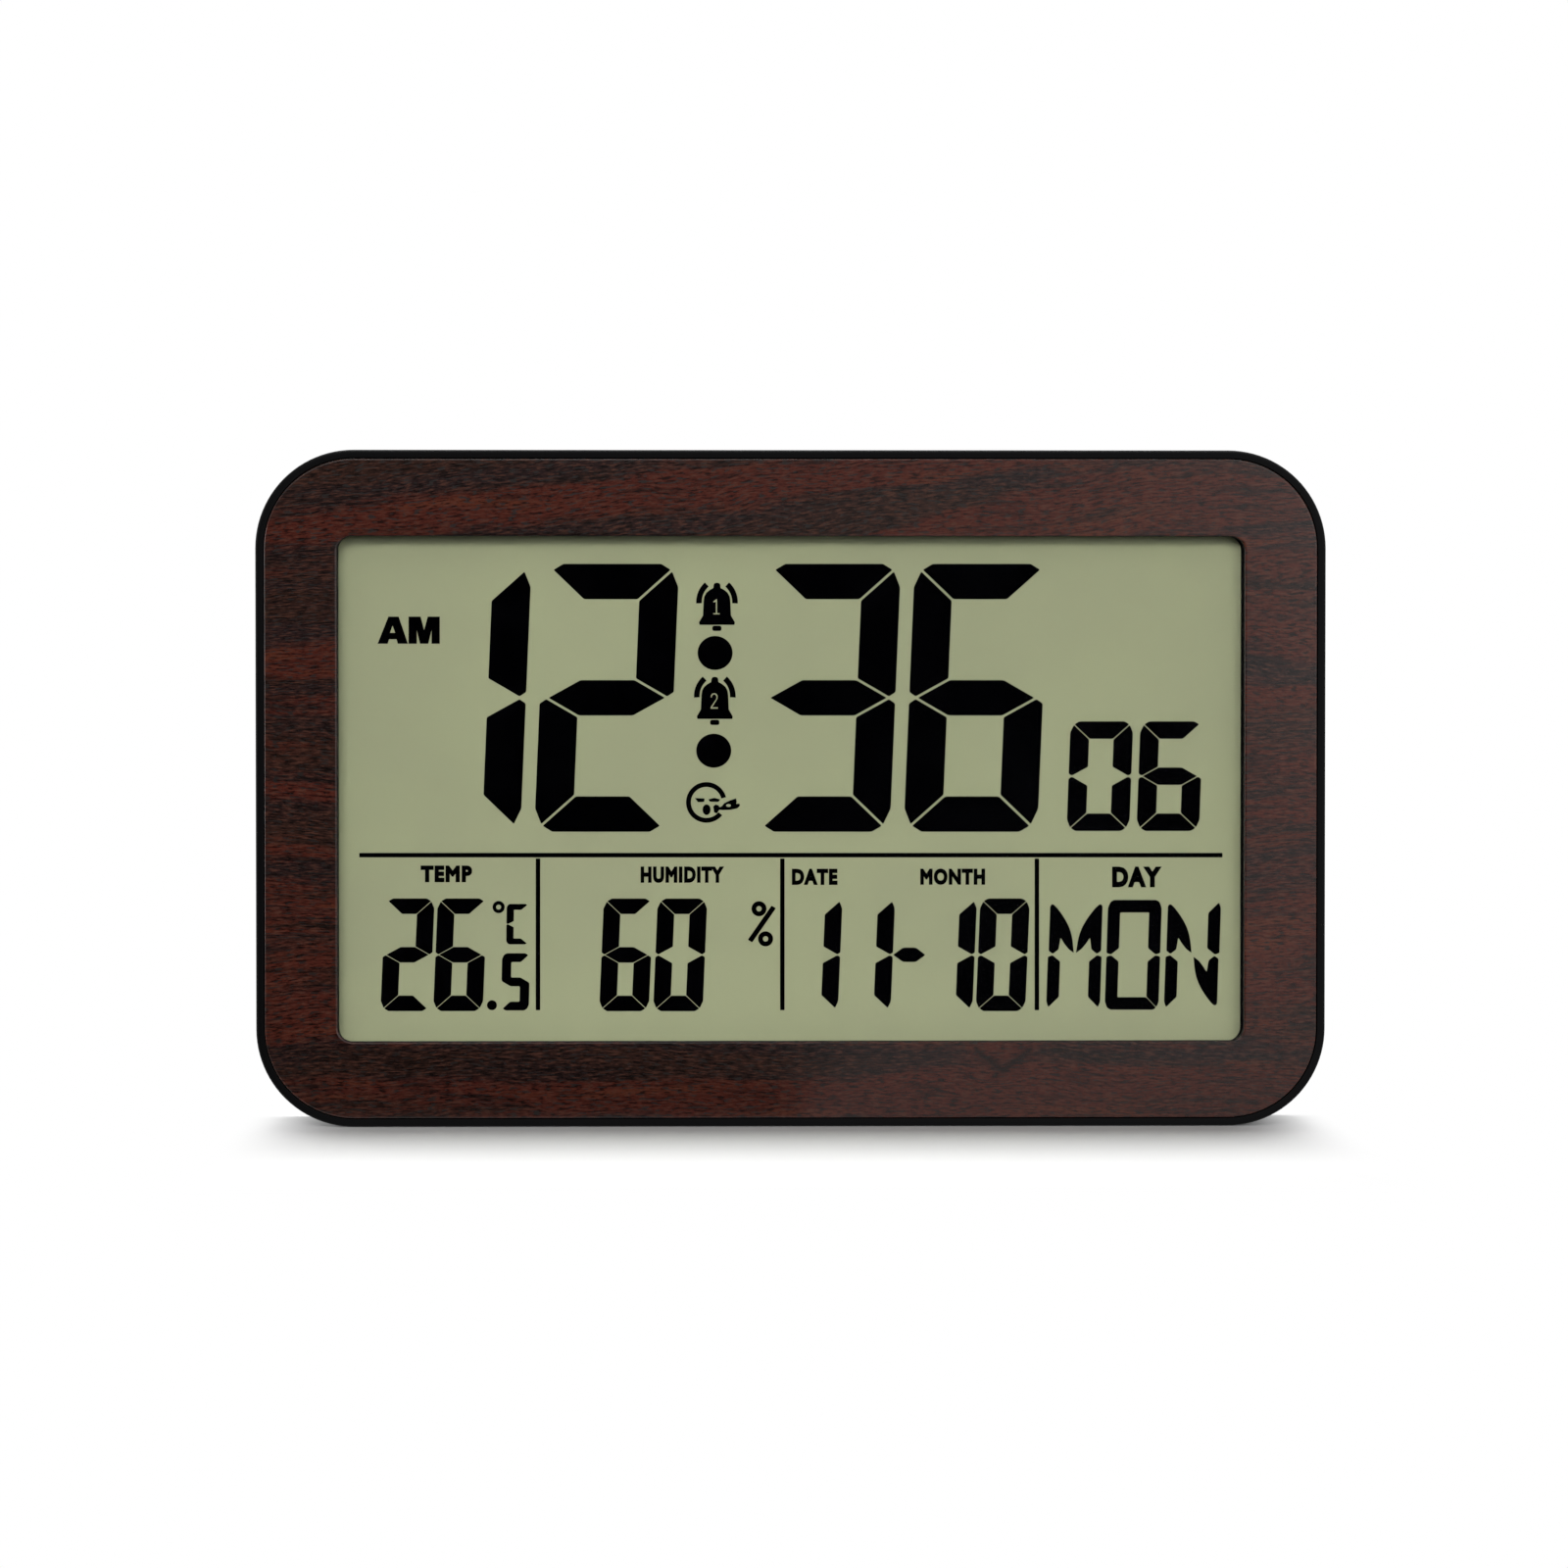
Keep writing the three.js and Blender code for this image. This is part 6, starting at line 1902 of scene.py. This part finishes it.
@dataclass
class BackOfCase:
    """The rear cover, the door, the stand and the plain words beside the keys."""

    edge: float = 0.16
    print_depth: float = 0.02
    print_edge: float = -75.3
    letter_height: float = 2.2
    capital: float = 0.7
    weight: float = 0.012

    def build(self, keys: Keys) -> None:
        """Dresses the moulded pieces of the back.

        Args:
            keys: The keys, for the words beside them.
        """
        shell = rounded_copy("rear_cover", "back_shell", "case", Slot.COVER, self.edge)
        back = (Span.of("rear_cover").back + FACE - self.print_depth / 2) * MM
        for vertex in shell.data.vertices:
            if vertex.co.y > back:
                vertex.co.y -= self.print_depth * MM
        rounded_copy("battery_door", "door_cover", "door", Slot.COVER, self.edge)
        rounded_copy("stand_leg", "fold_out_stand", "stand", Slot.COVER, self.edge)
        form = Form()
        for name, word in zip(keys.names, keys.words):
            self.word(form, word, Span.of(f"{name}_button").middle.z)
        finish = MouldedPlastic(shade(176, 178, 180), shade(190, 192, 194), 0.6, 0.004)
        form.finish("key_words", "case", Slot.COVER, paints.special("pale_print", finish))

    def word(self, form: Form, text: str, z: float) -> None:
        """Prints a word that reads from behind, ending beside its key.

        Args:
            form: The form that collects the words.
            text: The word.
            z: The height of its middle.
        """
        letters = lettering(text, self.weight)
        low, high = extent(letters)
        size = self.letter_height / self.capital
        back = Span.of("rear_cover").back
        centred = Matrix.Translation((-high.x, -(low.y + high.y) / 2, -self.weight))
        flat = Matrix.Diagonal((-size, size, self.print_depth / self.weight / 2, 1)) @ centred
        stand = Matrix(((1, 0, 0, self.print_edge), (0, 0, 1, back), (0, 1, 0, z), (0, 0, 0, 1)))
        letters.transform(stand @ flat)
        absorb(form.bm, letters)


def carry_over() -> None:
    """Gives every CAD node that still shows the finish of its slot."""
    for part in frame["record"]["subparts"]:
        node = frame["nodes"][part["node"]]
        if node.hide_render:
            continue
        material = paints.of(Slot(part["material_slot"]))
        node.data.materials.clear()
        node.data.materials.append(material)
        log.info("%s keeps its CAD form with the finish %s", part["node"], material.name)


@dataclass
class Studio:
    """A plain pale floor, soft lamps and a white surround."""

    floor_reach: float = 6.0
    floor_tones: Point = (0.8, 0.83)
    near_dark: float = 0.01
    dark_floor: Point = (-0.012, -0.05)
    dark_front: Point = (-0.93, -0.4)
    beside: Point = (0.0064, 0.0125)
    ahead: Point = (0.006, 0.02)
    behind: Point = (-0.004, 0.03)
    sheen: Point = (0.0, 0.15)
    sheen_level: float = 1.6
    ambient: float = 0.12
    overhead: float = 5.0
    key: float = 4.5
    side: float = 7.2
    edge: float = 2.0

    def build(self) -> None:
        """Sets the floor, the lamps and the world."""
        self.floor()
        self.lamp("overhead", (0.0, 0.14, 0.62), (0.0, -0.01, 0.0), (0.5, 0.24), self.overhead)
        self.lamp("key", (-0.3, -1.2, 0.64), (0.0, 0.0, 0.07), (0.7, 0.3), self.key)
        self.lamp("side", (0.86, -2.0, 0.5), (0.06, 0.0, 0.07), (0.88, 0.96), self.side)
        self.lamp("edge", (-0.75, -0.03, 0.13), (-0.1, 0.0, 0.08), (0.2, 0.3), self.edge)
        self.surround()

    @staticmethod
    def lamp(name: str, place: Sequence[float], target: Sequence[float], size: Point, power: float) -> None:
        """Adds one soft lamp.

        Args:
            name: Its name.
            place: Where it stands, in metres.
            target: What it points at, in metres.
            size: Its width and height in metres.
            power: Its power in watts.
        """
        data = bpy.data.lights.new(name, "AREA")
        data.shape = "RECTANGLE"
        data.size, data.size_y = size
        data.energy = power
        lamp = bpy.data.objects.new(name, data)
        aim = (Vector(target) - Vector(place)).to_track_quat("-Z", "Y")
        lamp.matrix_world = Matrix.Translation(place) @ aim.to_matrix().to_4x4()
        bpy.context.scene.collection.objects.link(lamp)

    def floor(self) -> None:
        """The pale floor, which shows the clock's shadow and is white beyond it."""
        form = bmesh.new()
        bmesh.ops.create_grid(form, x_segments=1, y_segments=1, size=self.floor_reach)
        mesh = bpy.data.meshes.new("floor")
        form.to_mesh(mesh)
        form.free()
        r = Recipe("pale_floor")
        speck = r.noise(r.place, 900, detail=2)
        tones = [(level, level, level, 1.0) for level in self.floor_tones]
        matt = r.surface(Base_Color=r.mix(speck, *tones), Roughness=0.9, Specular_IOR_Level=0.1)
        x, y, _ = r.axes()
        beside = (x * x).step(*self.beside)
        away = (beside * beside).most((y * y).step(*self.ahead)).most(y.step(*self.behind))
        glow = r.node("ShaderNodeEmission")
        dark = r.node("ShaderNodeEmission", None, {"Color": (self.near_dark, self.near_dark, self.near_dark, 1)})
        lighter = self.lighter_side(x, y, r.rays("Transmission"))
        ahead = r.rays("Glossy") * y.step(*self.dark_floor) * (1 - lighter)
        white = r.node("ShaderNodeMixShader", None, {0: ahead, 1: glow.outputs[0], 2: dark.outputs[0]})
        seen = (r.rays("Camera") * away).most(r.rays("Glossy", "Transmission"))
        mixed = r.node("ShaderNodeMixShader", None, {0: seen, 1: matt.outputs[0], 2: white.outputs[0]})
        mesh.materials.append(r.done(mixed))
        floor = bpy.data.objects.new("floor", mesh)
        bpy.context.scene.collection.objects.link(floor)

    def lighter_side(self, x: Signal, y: Signal, through: Signal) -> Signal:
        """How much the front mirrors of the lighter surround to its right.

        Args:
            x: How far to the right, or its share of the direction.
            y: How far back, or its share of the direction.
            through: 1 on what passes the lens, so that the display isn't lit from one side.

        Returns:
            The share, 0 where the surround ahead stays dark.
        """
        return (x / (0 - y).most(0.001)).step(*self.sheen) * self.sheen_level * (1 - through)

    def surround(self) -> None:
        """A world that is white to the eye, darker in what the front mirrors, and soft on the clock."""
        world = bpy.data.worlds.new("surround")
        r = Recipe("surround", world)
        x, y, _ = r.axes()
        lighter = self.lighter_side(x, y, r.rays("Transmission"))
        mirrored = y.step(*self.dark_front).most(lighter) * (1 - self.near_dark) + self.near_dark
        watched = r.rays("Glossy", "Transmission")
        level = watched * mirrored + (1 - watched) * self.ambient
        camera = r.rays("Camera")
        strength = camera + (1 - camera) * level
        background = r.node("ShaderNodeBackground", None, {"Color": (1, 1, 1, 1), "Strength": strength})
        bpy.context.scene.world = r.done(background)


def keep_sizes() -> None:
    """Brings the scene's placements up to date."""
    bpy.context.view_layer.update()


def main() -> None:
    """Builds the clock's pieces in order, then the studio round them."""
    logging.basicConfig(level=logging.INFO, format="%(name)s: %(message)s")
    bpy.context.scene.view_settings.view_transform = "Standard"
    view.set_camera()
    panel = FrontPanel()
    panel.build()
    FrontCase().build(panel.window())
    Display().build()
    keys = Keys()
    keys.build()
    BackOfCase().build(keys)
    Inside().build()
    Cells().build()
    Contacts().build()
    Wiring().build()
    carry_over()
    Studio().build()
    keep_sizes()


if __name__ == "__main__":
    main()
